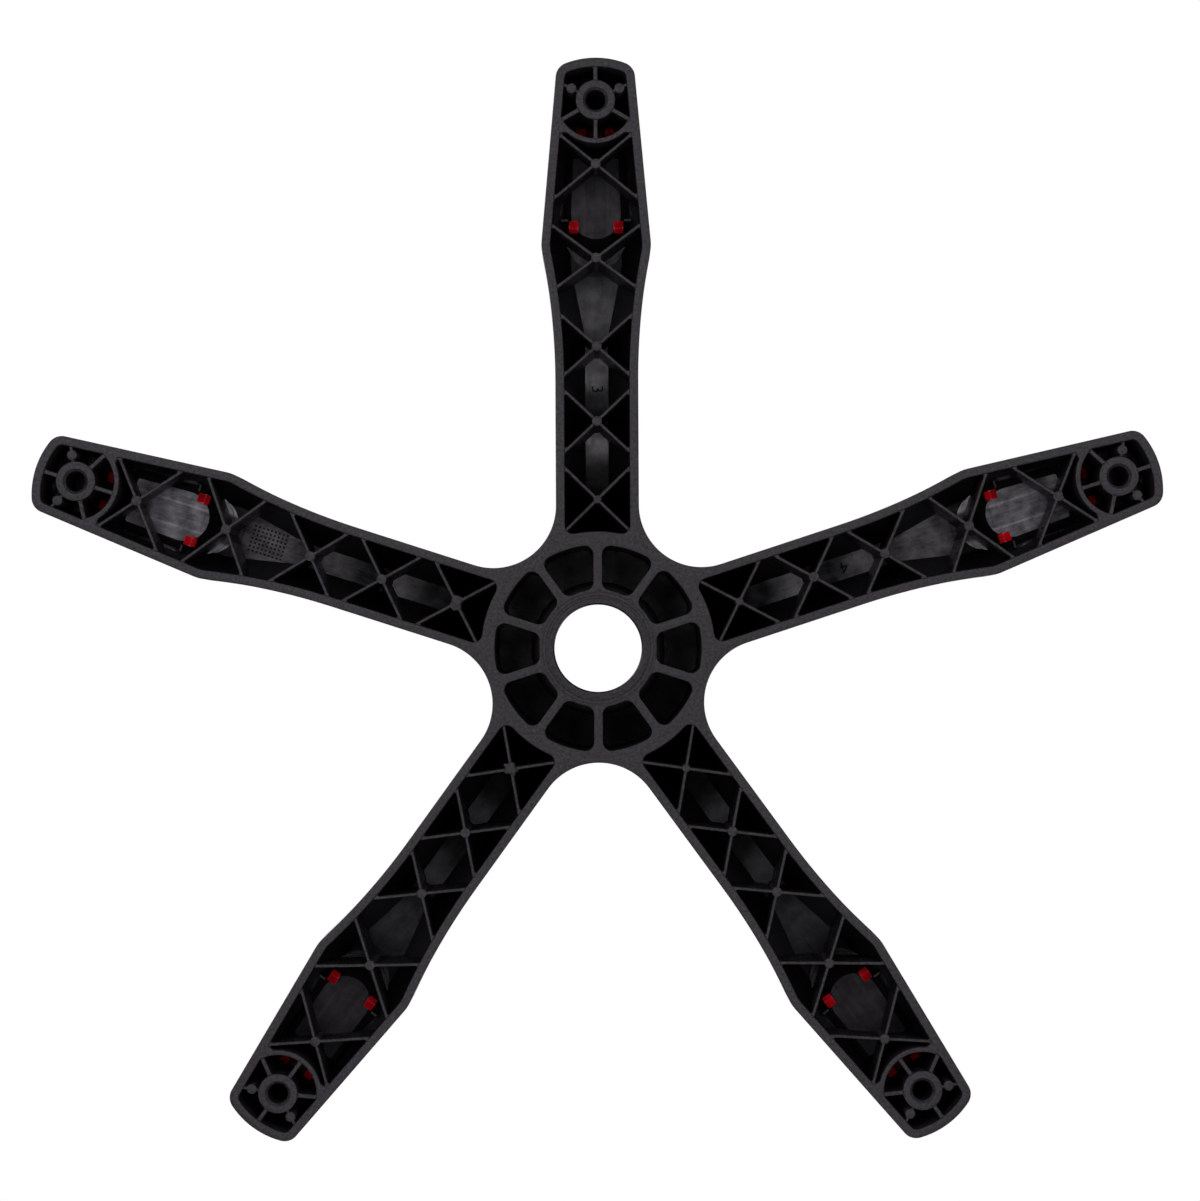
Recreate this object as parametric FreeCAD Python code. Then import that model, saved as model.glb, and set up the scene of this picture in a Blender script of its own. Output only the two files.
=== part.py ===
import FreeCAD
import Part
import math
import os

# A five-arm base for an office chair. The base itself is one ribbed moulding in glass-filled nylon,
# with a tapered socket for the gas column in its hub and a blind socket for a caster stem in each
# foot. Five coloured trim caps snap into recesses on top of the feet.
# Sizes are in millimetres. The base stands on the rim of its underside at z = 0, the hub's axis is
# Z, and the first arm points along +Y. "y" below is the distance from the hub's axis along an arm.

V = FreeCAD.Vector
UP = V(0, 0, 1)
ORIGIN = V(0, 0, 0)
BELOW = 2.0                    # how far a cut starts under the base, so that it comes out clean

# The star
ARM_COUNT = 5
WALL = 4.9                     # side walls of the arms, seen as the rim of the underside
ROOF = 3.5                     # skin over the arms and over the hub's pockets
RIB_RECESS = 1.0               # how far the arm ribs stay above the rim
FLARE_STEPS = 4                # points on the inside of an arm's flare
KNEE_CUT = 3.0                 # flats in place of the roundings inside the knee and the tip's corner
TIP_CUT = 2.2

# Outline of an arm, seen from below
WAIST_HALF = 22.5              # half the width of the slim part of the arm
NOTCH_RADIUS = 33.9            # the round notch between two arms
FLARE_START = 145.0            # where the waist begins to widen
KNEE = 217.7                   # where the arm is widest
KNEE_HALF = 29.9
KNEE_ROUND = 22.0
FOOT_TAPER = 5.2               # degrees that each side of the foot leans in towards the tip
SOCKET_CIRCLE = 297.2          # radius of the circle that the caster sockets stand on
TIP_OVERHANG = 22.8            # from the caster socket's axis to the tip
TIP_ARC = 46.0                 # radius of the tip's end
TIP_CORNER = 8.5

# Top of an arm: a flat strip with a slope to each side wall, arched up to the hub
ARCH_END = 190.0               # where the arch runs out into the straight foot
ARCH_END_HEIGHT = 41.0
ARCH_RADIUS = 275.0
FOOT_SLOPE = 2.86              # degrees that the foot's top falls towards the tip
STRIP_HALF = 8.2               # half width of the flat strip along the waist
WAIST_DROP = 19.0              # from the strip down to the top of the side wall, at the waist
PAD_BORDER = 6.0               # width of the slope round the foot's flat top
PAD_DROP = 7.0                 # fall of that slope
PAD_START = 150.0              # where the foot's flat top starts, hidden in the arch
PAD_START_HALF = 3.7
SLOPE_REACH = 22.0             # how far the slopes run on, past the outline
ARCH_STEPS = 4                 # flat steps that the arch is made of

# Hub
HUB_TOP = 82.0
HUB_SHOULDER_HEIGHT = 62.0     # top of the hub's upright wall, between the arms
HUB_SHOULDER_RADIUS = 67.0
HUB_CROWN_RADIUS = 45.0        # where the hub's flat top begins
COLLAR_TOP = 88.0
COLLAR_RADIUS = 36.5
COLUMN_LAND_RADIUS = 24.2      # straight bore under the column's taper
COLUMN_TAPER_LENGTH = 52.0
COLUMN_TAPER_RATIO = 20.0      # the diameter grows by 1 in this length

# Pockets and spokes under the hub
SPOKE_COUNT = 10
SPOKE_WIDTH = 4.9
HUB_TUBE_RADIUS = 32.0         # outside of the tube round the column's bore
HUB_POCKET_RADIUS = 56.0
HUB_POCKET_CORNER = 4.6
HUB_POCKET_TOP = 68.0
HUB_WALL_RADIUS = 63.4         # hub end of the arms' pockets

# Ribs that cross under an arm: distance of each crossing from the hub's axis, and the rib's angle
CROSSINGS = ((80.7, 44.3), (123.2, 43.2), (163.8, 41.4), (211.7, 36.6), (262.6, 39.4))
RIB_WIDTH = 1.8

# Foot: the caster socket and what carries it
SOCKET_RADIUS = 5.5
SOCKET_DEPTH = 27.0
SOCKET_BOSS_RADIUS = 10.8
RING_RADIUS = 20.8             # inside of the curved wall on the hub side of the socket
RING_WALL = 2.9
RING_WEB_START = 17.9          # the ring's corners are solid up to this far from the socket
FOOT_RIB_WIDTH = 2.3
FOOT_RIB_ANGLES = (0, 120, 180, 240)   # round the socket, from the tip

# Trim cap and its recess in the foot's top
CAP_ROUND_CENTRE = 231.8       # centre of the cap's round end
CAP_ROUND_RADIUS = 16.3
CAP_TAPER = 2.8                # degrees that each side leans in
CAP_TIP_BORDER = 8.5           # from the cap's outer end to the tip of the foot
CAP_CORNER = 4.0
CAP_EDGE = 3.0                 # thickness at the cap's edge
CAP_CROWN = 1.6                # rise of the cap's middle over its edge
CAP_FLAT_HALF = 6.0            # half width of the cap's flat middle
CAP_GAP = 0.25                 # clearance round the cap
LEDGE_SKIN = 2.6               # under the cap
LEDGE_WALL = 2.4               # round the cap

# Pocket under the middle of the cap
POCKET_ROUND_CENTRE = 239.7
POCKET_HALF = 11.8
POCKET_END = 267.9
POCKET_DEPTH = 13.2            # below the foot's top
POCKET_WALL = 2.3
POCKET_FLOOR = 2.8

# Hooks of the cap, in two pairs: the back of the leg, half the pair's spacing, the length with its
# barb, and the way the barb points, outwards (1) or towards the hub (-1)
HOOKS = ((227.8, 12.3, 7.4, 1), (SOCKET_CIRCLE - 9.9, 7.9, 6.3, -1))
HOOK_WIDTH = 5.1
HOOK_LEG = 2.8                 # thickness of the leg above the barb
HOOK_BARB = 4.0                # height of the barb
HOOK_FLEX = 1.4                # room in front of the leg, so that it can bend on its way in
HOOK_GAP = 0.35
CATCH_GAP = 0.2                # between a barb and the face that it catches under
WINDOW_HALF = 13.2             # opening in the cap's ledge, between the ring and the socket's boss
WINDOW_START = SOCKET_CIRCLE - 14.6
WINDOW_END = SOCKET_CIRCLE - 6.2

# What follows from these
TIP = SOCKET_CIRCLE + TIP_OVERHANG
ARM_PITCH = 360.0 / ARM_COUNT
SPOKE_PITCH = 360.0 / SPOKE_COUNT
FOOT_LEAN = math.tan(math.radians(FOOT_TAPER))
FLARE_RISE = KNEE_HALF - WAIST_HALF
FLARE_RADIUS = ((KNEE - FLARE_START) ** 2 + FLARE_RISE ** 2) / (2 * FLARE_RISE)
TALL = COLLAR_TOP + 20.0


def at(radius, angle, z=0.0):
    """A point at a radius from the hub's axis, at an angle in degrees from +Y towards +X."""
    turn = math.radians(angle)
    return V(radius * math.sin(turn), radius * math.cos(turn), z)


def arc(start, middle, end):
    return Part.Arc(start, middle, end).toShape()


def lines(points):
    return [Part.LineSegment(a, b).toShape() for a, b in zip(points, points[1:])]


def corner(centre, radius, first, last, count):
    """Points on flats in place of a rounded corner, between two directions."""
    return [centre + at(radius, first + (last - first) * i / count) for i in range(count + 1)]


def prism(wire, low, high):
    """The upright solid on a flat wire drawn at z = 0."""
    solid = Part.Face(wire).extrude(V(0, 0, high - low))
    solid.translate(V(0, 0, low))
    return solid


def slab(x_size, y_size, low, high, middle=ORIGIN, angle=0.0):
    """A box centred on a point in plan, turned about its middle."""
    box = Part.makeBox(x_size, y_size, high - low, V(-x_size / 2, -y_size / 2, low))
    box.rotate(ORIGIN, UP, angle)
    box.translate(middle)
    return box


def drum(radius, low, high, middle=ORIGIN):
    return Part.makeCylinder(radius, high - low, V(middle.x, middle.y, low))


def faceted_post(radius, sides, low, high, middle):
    """A post with flat sides that touch the given radius."""
    step = 360.0 / sides
    corner_radius = radius / math.cos(math.radians(step / 2))
    corners = [middle + at(corner_radius, step * (i + 0.5)) for i in range(sides)]
    return prism(Part.makePolygon(corners + corners[:1]), low, high)


def joined(shapes):
    return shapes[0].multiFuse(shapes[1:])


def turned(shape, angle):
    """A copy turned about the hub's axis."""
    copy = shape.copy()
    copy.rotate(ORIGIN, UP, angle)
    return copy


def round_upright_edges(solid, radius, is_chosen):
    """Round the upright edges of a prism whose place in plan is chosen."""
    edges = []
    for edge in solid.Edges:
        first, last = edge.Vertexes[0].Point, edge.Vertexes[-1].Point
        is_upright = abs(first.x - last.x) < 1e-6 and abs(first.y - last.y) < 1e-6
        if is_upright and is_chosen(first):
            edges.append(edge)
    return solid.makeFillet(radius, edges)


def distance_to_circle(start, along, centre, radius):
    """How far it is from a point inside a circle to the circle, in a direction of length 1."""
    back = (start - centre).dot(along)
    return -back + math.sqrt(back ** 2 - (start - centre).Length ** 2 + radius ** 2)


def outline_half(y):
    """Half the width of an arm at y."""
    if y >= KNEE:
        return KNEE_HALF - FOOT_LEAN * (y - KNEE)
    if y <= FLARE_START:
        return WAIST_HALF
    return WAIST_HALF + FLARE_RADIUS - math.sqrt(FLARE_RADIUS ** 2 - (y - FLARE_START) ** 2)


def side_edges(start):
    """The right side and the tip's end of an arm, from a point on its waist to the tip's middle."""
    flare_middle = (FLARE_START + KNEE) / 2
    flare_start = V(WAIST_HALF, FLARE_START, 0)
    knee = V(KNEE_HALF, KNEE, 0)
    along = V(-FOOT_LEAN, 1, 0).normalize()
    centre = V(0, TIP - TIP_ARC, 0)
    corner = knee + along * distance_to_circle(knee, along, centre, TIP_ARC)
    half_turn = math.degrees(math.asin(corner.x / TIP_ARC)) / 2
    tip_middle = centre + at(TIP_ARC, half_turn)
    return [
        Part.LineSegment(start, flare_start).toShape(),
        arc(flare_start, V(outline_half(flare_middle), flare_middle, 0), knee),
        Part.LineSegment(knee, corner).toShape(),
        arc(corner, tip_middle, V(0, TIP, 0)),
    ]


def both_sides(edges):
    """The edges with their mirror images across the arm's axis."""
    return edges + [edge.mirror(ORIGIN, V(1, 0, 0)) for edge in edges]


def symmetric_wire(points, far=None):
    """A closed outline from points on an arm's right side, given from the hub end outwards.

    Its ends are straight, or the outer end is an arc through far, a distance from the hub's axis.
    """
    first, last = points[0], points[-1]
    other = V(-last.x, last.y, 0)
    edges = both_sides(lines(points))
    edges.append(arc(last, V(0, far, 0), other) if far else Part.LineSegment(last, other).toShape())
    if first.x > 1e-6:
        edges.append(Part.LineSegment(first, V(-first.x, first.y, 0)).toShape())
    return Part.Wire(Part.__sortEdges__(edges))


def rounded_arms(solid):
    """Round the knees and the tip corners of each arm."""
    def is_knee(point):
        return abs(math.hypot(point.x, point.y) - math.hypot(KNEE, KNEE_HALF)) < 0.5

    def is_tip_corner(point):
        distance = math.hypot(point.x, point.y)
        return distance > KNEE + 20 and distance < TIP - 0.5

    return round_upright_edges(round_upright_edges(solid, KNEE_ROUND, is_knee), TIP_CORNER, is_tip_corner)


def star_prism(high):
    """The whole outline, extruded: five arms joined by round notches."""
    notch_centre_radius = (WAIST_HALF + NOTCH_RADIUS) / math.sin(math.radians(ARM_PITCH / 2))
    notch_centre = at(notch_centre_radius, ARM_PITCH / 2)
    waist_start = V(WAIST_HALF, notch_centre.y, 0)
    notch_bottom = at(notch_centre_radius - NOTCH_RADIUS, ARM_PITCH / 2)
    next_arm = at(waist_start.Length, ARM_PITCH - math.degrees(math.atan2(waist_start.x, waist_start.y)))
    one_arm = both_sides(side_edges(waist_start)) + [arc(waist_start, notch_bottom, next_arm)]
    edges = [turned(edge, ARM_PITCH * k) for k in range(ARM_COUNT) for edge in one_arm]
    wire = Part.Wire(Part.__sortEdges__(edges))
    return rounded_arms(prism(wire, 0, high))


def inner_plan():
    """The inside of an arm's side walls, from the hub's axis to the tip."""
    points = [V(WAIST_HALF - WALL, 0, 0)]
    for i in range(FLARE_STEPS):
        y = FLARE_START + (KNEE - KNEE_CUT - FLARE_START) * i / (FLARE_STEPS - 1)
        points.append(V(outline_half(y) - WALL, y, 0))
    y = KNEE + KNEE_CUT
    points.append(V(outline_half(y) - WALL, y, 0))
    along = V(-FOOT_LEAN, 1, 0).normalize()
    centre = V(0, TIP - TIP_ARC, 0)
    radius = TIP_ARC - WALL
    meet = points[-1] + along * distance_to_circle(points[-1], along, centre, radius)
    turn = math.degrees(math.atan2(meet.x, meet.y - centre.y) - TIP_CUT / radius)
    points.append(meet - along * TIP_CUT)
    points += [centre + at(radius, share * turn) for share in (1, 0.35)]
    return symmetric_wire(points)


def foot_height(y):
    """Height of the foot's flat top at y."""
    return ARCH_END_HEIGHT - math.tan(math.radians(FOOT_SLOPE)) * (y - ARCH_END)


def ridge_height(y):
    """Height of the flat strip on the arch at y; the arch runs out into the foot's top."""
    slope = math.radians(FOOT_SLOPE)
    centre_y = ARCH_END + ARCH_RADIUS * math.sin(slope)
    centre_z = ARCH_END_HEIGHT + ARCH_RADIUS * math.cos(slope)
    return centre_z - math.sqrt(ARCH_RADIUS ** 2 - (y - centre_y) ** 2)


def roof_section(y, top, strip, drop, skin):
    """Corners of a section across an arm, a skin's thickness inside its top.

    The top has a flat strip, and on each side of it a slope that falls by drop in each millimetre.
    """
    top = top - skin
    strip = strip - skin * math.tan(math.atan(drop) / 2)
    side = strip + SLOPE_REACH
    low = top - SLOPE_REACH * drop
    corners = [(-side, -BELOW), (-side, low), (-strip, top), (strip, top), (side, low), (side, -BELOW)]
    return [V(x, y, z) for x, z in corners]


def flat_face(points):
    return Part.Face(Part.makePolygon(points + points[:1]))


def form_through(sections):
    """A solid with flat faces through sections that have the same number of corners."""
    faces = [flat_face(sections[0]), flat_face(sections[-1])]
    for near, far in zip(sections, sections[1:]):
        for i in range(len(near)):
            j = (i + 1) % len(near)
            faces.append(flat_face([near[i], near[j], far[j], far[i]]))
    return Part.makeSolid(Part.makeShell(faces))


def arm_form(skin, start):
    """An arm's form under its top, a skin's thickness inside it: the arch, then the foot."""
    step = (ARCH_END - HUB_POCKET_RADIUS) / ARCH_STEPS
    stations = [start] + [HUB_POCKET_RADIUS + step * i for i in range(ARCH_STEPS + 1)]
    waist_drop = WAIST_DROP / (WAIST_HALF - STRIP_HALF)
    arch = form_through([roof_section(y, ridge_height(y), STRIP_HALF, waist_drop, skin) for y in stations])
    pad_drop = PAD_DROP / PAD_BORDER
    pad = [(PAD_START, PAD_START_HALF), (KNEE, KNEE_HALF - PAD_BORDER)]
    pad.append((TIP + 5, outline_half(TIP + 5) - PAD_BORDER))
    foot = form_through([roof_section(y, foot_height(y), half, pad_drop, skin) for y, half in pad])
    edge_y = TIP - PAD_BORDER - skin * math.tan(math.atan(pad_drop) / 2)
    edge_z = foot_height(TIP) - skin
    profile = [(-5, 5), (5 + PAD_BORDER, -5 - PAD_BORDER), (5 + PAD_BORDER, 5)]
    points = [V(-2 * KNEE_HALF, edge_y + y, edge_z + z * pad_drop) for y, z in profile]
    return arch.fuse(foot.cut(flat_face(points).extrude(V(4 * KNEE_HALF, 0, 0))))


def hub_form():
    """The hub without its collar: an upright drum with a broad sloping shoulder."""
    profile = [
        (0, 0),
        (HUB_SHOULDER_RADIUS, 0),
        (HUB_SHOULDER_RADIUS, HUB_SHOULDER_HEIGHT),
        (HUB_CROWN_RADIUS, HUB_TOP),
        (0, HUB_TOP),
    ]
    points = [V(r, 0, z) for r, z in profile]
    return Part.Face(Part.makePolygon(points + points[:1])).revolve(ORIGIN, UP, 360)


def blank():
    """The moulding before anything is taken out of it."""
    arms = [turned(arm_form(0, 20.0), ARM_PITCH * k) for k in range(ARM_COUNT)]
    body = joined([hub_form()] + arms).common(star_prism(HUB_TOP))
    return body.fuse(drum(COLLAR_RADIUS, HUB_TOP - ROOF, COLLAR_TOP))


def column_bore():
    """The bore for the gas column: a straight land, then the taper, which is widest at the top."""
    taper_start = COLLAR_TOP - COLUMN_TAPER_LENGTH
    top_radius = COLUMN_LAND_RADIUS + COLUMN_TAPER_LENGTH / COLUMN_TAPER_RATIO / 2
    taper = Part.makeCone(COLUMN_LAND_RADIUS, top_radius, COLUMN_TAPER_LENGTH, V(0, 0, taper_start))
    return drum(COLUMN_LAND_RADIUS, -BELOW, taper_start).fuse(taper)


def hub_pockets():
    """The pockets between the spokes under the hub: sectors of a ring with softened corners."""
    inner = HUB_TUBE_RADIUS + HUB_POCKET_CORNER
    outer = HUB_POCKET_RADIUS - HUB_POCKET_CORNER
    inset = SPOKE_WIDTH / 2 + HUB_POCKET_CORNER
    near = math.degrees(math.asin(inset / inner))
    far = math.degrees(math.asin(inset / outer))
    middle = SPOKE_PITCH / 2
    points = corner(at(inner, near), HUB_POCKET_CORNER, near - 180, -90, 2)
    points += corner(at(outer, far), HUB_POCKET_CORNER, -90, far, 2)
    side = lines(points)
    side += [edge.mirror(ORIGIN, at(1, middle + 90)) for edge in side]
    side.append(arc(points[0], at(HUB_TUBE_RADIUS, middle), at(HUB_TUBE_RADIUS, SPOKE_PITCH - near)))
    side.append(arc(points[-1], at(HUB_POCKET_RADIUS, middle), at(HUB_POCKET_RADIUS, SPOKE_PITCH - far)))
    pocket = prism(Part.Wire(Part.__sortEdges__(side)), -BELOW, HUB_POCKET_TOP)
    return [turned(pocket, SPOKE_PITCH * k) for k in range(SPOKE_COUNT)]


def seated(shape):
    """Place a shape drawn on a level foot top at z = 0 on the real top, which falls to the tip."""
    top = foot_height(KNEE)
    shape.translate(V(0, 0, top))
    shape.rotate(V(0, KNEE, top), V(1, 0, 0), -FOOT_SLOPE)
    return shape


def cap_outline(grow):
    """The trim cap's outline, or one that lies outside it by grow: round towards the hub."""
    along = at(1, -CAP_TAPER)
    side = 90 - CAP_TAPER
    round_centre = V(0, CAP_ROUND_CENTRE, 0)
    tip_centre = V(0, TIP - TIP_ARC, 0)
    start = round_centre + at(CAP_ROUND_RADIUS - CAP_CORNER, side)
    reach = distance_to_circle(start, along, tip_centre, TIP_ARC - CAP_TIP_BORDER - CAP_CORNER)
    middle = start + along * reach
    end = math.degrees(math.atan2(middle.x, middle.y - tip_centre.y))
    points = corner(round_centre, CAP_ROUND_RADIUS + grow, 180, side, 6)
    points += corner(middle, CAP_CORNER + grow, side, end, 2)
    return symmetric_wire(points, far=TIP - CAP_TIP_BORDER + grow)


def faceted_shield(centre_y, radius, end_y):
    """A shield like the cap's, with flats in place of its round end, and a straight outer end."""
    points = corner(V(0, centre_y, 0), radius, 180, 90 - CAP_TAPER, 5)
    along = at(1, -CAP_TAPER)
    points.append(points[-1] + along * ((end_y - points[-1].y) / along.y))
    return symmetric_wire(points)


def pocket_outline(grow):
    """The outline of the pocket under the cap, or one that lies outside it by grow."""
    return faceted_shield(POCKET_ROUND_CENTRE, POCKET_HALF + grow, POCKET_END + grow)


def hook(back, spacing, length, way, catch):
    """A cap's snap hook in its own side view: a leg with a barb that points along the arm."""
    nose = back + way * length
    front = back + way * HOOK_LEG
    profile = [
        (back, -CAP_EDGE),
        (back, -catch - HOOK_BARB),
        (front, -catch - HOOK_BARB),
        (nose, -catch - HOOK_BARB / 3),
        (nose, -catch),
        (front, -catch),
        (front, -CAP_EDGE),
    ]
    points = [V(spacing - HOOK_WIDTH / 2, y, z) for y, z in profile]
    return Part.Face(Part.makePolygon(points + points[:1])).extrude(V(HOOK_WIDTH, 0, 0))


def hook_places():
    """Each hook's place as spacing, back, length, way and the depth of the face it catches under."""
    catches = (POCKET_DEPTH + POCKET_FLOOR + CATCH_GAP, CAP_EDGE + LEDGE_SKIN + CATCH_GAP)
    for (back, spacing, length, way), catch in zip(HOOKS, catches):
        for side in (-1, 1):
            yield side * spacing, back, length, way, catch


def trim_cap():
    """One cap: a crowned shield with four hooks under it."""
    half = CAP_ROUND_RADIUS
    section = [(-half, -CAP_EDGE), (-half, 0), (-CAP_FLAT_HALF, CAP_CROWN)]
    section += [(-x, z) for x, z in reversed(section)]
    crown = flat_face([V(x, HUB_WALL_RADIUS, z) for x, z in section]).extrude(V(0, TIP, 0))
    plate = prism(cap_outline(0), -CAP_EDGE, CAP_CROWN).common(crown)
    hooks = [hook(back, spacing, length, way, catch) for spacing, back, length, way, catch in hook_places()]
    return seated(joined([plate] + hooks))


def cap_recess():
    """What the cap and its hooks need taken out of a foot, and the pocket under the cap."""
    cuts = [
        prism(cap_outline(CAP_GAP), -CAP_EDGE, CAP_EDGE),
        prism(pocket_outline(0), -POCKET_DEPTH, 0),
    ]
    first_back, first_spacing = HOOKS[0][:2]
    slot_length = HOOK_LEG + HOOK_FLEX + HOOK_GAP
    slot_middle = first_back - HOOK_GAP + slot_length / 2
    for side in (-1, 1):
        place = V(side * first_spacing, slot_middle, 0)
        depth = POCKET_DEPTH + POCKET_FLOOR + HOOK_GAP
        cuts.append(slab(HOOK_WIDTH + 2 * HOOK_GAP, slot_length, -depth, 0, place))
    window = slab(2 * WINDOW_HALF, WINDOW_END - WINDOW_START, -CAP_EDGE - LEDGE_SKIN - ROOF, 0,
                  V(0, (WINDOW_START + WINDOW_END) / 2, 0))
    boss = faceted_post(SOCKET_BOSS_RADIUS, 16, -TALL, TALL, V(0, SOCKET_CIRCLE, 0))
    return [seated(cut) for cut in cuts] + [seated(window).cut(boss)]


def under_cap():
    """The skin that carries the cap, and the pocket's walls and floor, as solid blocks."""
    outline = faceted_shield(CAP_ROUND_CENTRE, CAP_ROUND_RADIUS + LEDGE_WALL, TIP)
    ledge = prism(outline, -CAP_EDGE - LEDGE_SKIN, CAP_EDGE)
    pocket = prism(pocket_outline(POCKET_WALL), -POCKET_DEPTH - POCKET_FLOOR, 0)
    return [seated(ledge), seated(pocket)]


def crossed_ribs():
    """The ribs that cross under an arm."""
    ribs = []
    for y, angle in CROSSINGS:
        middle = V(0, y, 0)
        for turn in (-angle, angle):
            ribs.append(slab(4 * KNEE_HALF, RIB_WIDTH, RIB_RECESS, TALL, middle, turn))
    return ribs


def socket_ribs():
    """The socket's boss and the ribs that brace it in the foot."""
    socket = V(0, SOCKET_CIRCLE, 0)
    solids = [faceted_post(SOCKET_BOSS_RADIUS, 16, 0, TALL, socket)]
    reach = RING_RADIUS + RING_WALL
    for angle in FOOT_RIB_ANGLES:
        solids.append(slab(FOOT_RIB_WIDTH, reach, RIB_RECESS, TALL, socket + at(reach / 2, angle), -angle))
    return solids


def arm_hollows():
    """What is hollow under one arm: the long ribbed pocket and the foot's end round the socket."""
    inside = prism(inner_plan(), -BELOW, TALL).common(arm_form(ROOF, HUB_POCKET_RADIUS - 5))
    socket = V(0, SOCKET_CIRCLE, 0)
    wide = 4 * KNEE_HALF
    ring_end = SOCKET_CIRCLE - RING_WEB_START
    beyond_ring = slab(wide, TIP - ring_end, -BELOW, TALL, V(0, (TIP + ring_end) / 2, 0))
    beyond_socket = slab(wide, TIP_OVERHANG, -BELOW, TALL, V(0, SOCKET_CIRCLE + TIP_OVERHANG / 2, 0))
    outside_long = [
        drum(HUB_WALL_RADIUS, -BELOW, TALL),
        drum(RING_RADIUS + RING_WALL, -BELOW, TALL, socket),
        beyond_ring,
    ]
    carriers = under_cap()
    long_pocket = inside.cut(outside_long + carriers + crossed_ribs())
    foot_space = faceted_post(RING_RADIUS, 24, -BELOW, TALL, socket).fuse(beyond_socket)
    foot_end = inside.common(foot_space).cut(carriers + socket_ribs())
    return [long_pocket, foot_end]


def caster_socket():
    """The blind bore for a caster's stem."""
    return drum(SOCKET_RADIUS, -BELOW, SOCKET_DEPTH, V(0, SOCKET_CIRCLE, 0))


def base_moulding():
    """The whole moulding: its blank, less everything that is hollow."""
    one_arm = arm_hollows() + cap_recess() + [caster_socket()]
    cuts = [turned(cut, ARM_PITCH * k) for k in range(ARM_COUNT) for cut in one_arm]
    return blank().cut(cuts + hub_pockets() + [column_bore()]).removeSplitter()


def write(name, shape):
    os.makedirs("parts", exist_ok=True)
    print(name, shape.isValid(), len(shape.Solids), len(shape.Faces), round(shape.Volume / 1000, 1))
    shape.exportStep("parts/" + name + ".step")


write("base_moulding", base_moulding())
cap = trim_cap()
for k in range(ARM_COUNT):
    write("trim_cap_" + str(k + 1), turned(cap, ARM_PITCH * k))
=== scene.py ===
import math
import random

import bmesh
import bpy
import numpy as np
from mathutils import Matrix, Vector
from mathutils.geometry import delaunay_2d_cdt


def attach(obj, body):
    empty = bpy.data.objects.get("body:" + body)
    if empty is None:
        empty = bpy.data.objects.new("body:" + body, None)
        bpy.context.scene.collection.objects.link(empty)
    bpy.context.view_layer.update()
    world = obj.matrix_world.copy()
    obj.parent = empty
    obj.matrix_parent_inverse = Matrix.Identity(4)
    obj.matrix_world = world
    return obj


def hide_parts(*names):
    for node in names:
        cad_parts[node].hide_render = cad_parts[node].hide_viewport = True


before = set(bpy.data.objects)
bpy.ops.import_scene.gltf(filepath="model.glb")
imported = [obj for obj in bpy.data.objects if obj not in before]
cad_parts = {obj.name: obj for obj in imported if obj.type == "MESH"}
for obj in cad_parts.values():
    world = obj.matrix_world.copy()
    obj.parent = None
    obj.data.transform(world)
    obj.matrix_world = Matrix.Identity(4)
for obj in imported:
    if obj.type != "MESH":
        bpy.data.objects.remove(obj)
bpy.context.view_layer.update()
MM = 0.001

# Outline of the base moulding
# The base is one injection moulding in near-black glass-filled nylon: five arms round a hub.
# This section draws one arm's sector in plan, in millimetres, with the arm along +Y.
ARM_COUNT = 5
SECTOR = 180.0 / ARM_COUNT
ARM_TURN = 2 * SECTOR
WALL = 4.9
WAIST_HALF = 22.5
NOTCH_RADIUS = 33.9
FLARE_START = 145.0
KNEE = 217.7
KNEE_HALF = 29.9
KNEE_ROUND = 22.0
FOOT_LEAN = math.tan(math.radians(5.2))
SOCKET_CIRCLE = 297.2
TIP = 320.0
TIP_ARC = 46.0
TIP_CORNER = 8.5
FLARE_RISE = KNEE_HALF - WAIST_HALF
FLARE_RADIUS = ((KNEE - FLARE_START) ** 2 + FLARE_RISE ** 2) / (2 * FLARE_RISE)
BORE_RADIUS = 24.2


def polar(radius, degrees):
    """Plan points at a radius from the hub's axis, at angles from +Y towards +X."""
    turn = np.radians(degrees)
    return np.stack([radius * np.sin(turn), radius * np.cos(turn)], -1)


def bend(centre, radius, first, last, count):
    """Plan points along an arc."""
    return np.array(centre) + polar(radius, np.linspace(first, last, count + 1))


def spaced(path, step):
    """The same path with points added, so that no stretch is longer than step."""
    points = [path[0]]
    for start, end in zip(path, path[1:]):
        count = max(1, math.ceil(np.hypot(*(end - start)) / step - 1e-6))
        points += [start + (end - start) * i / count for i in range(1, count + 1)]
    return np.array(points)


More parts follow.
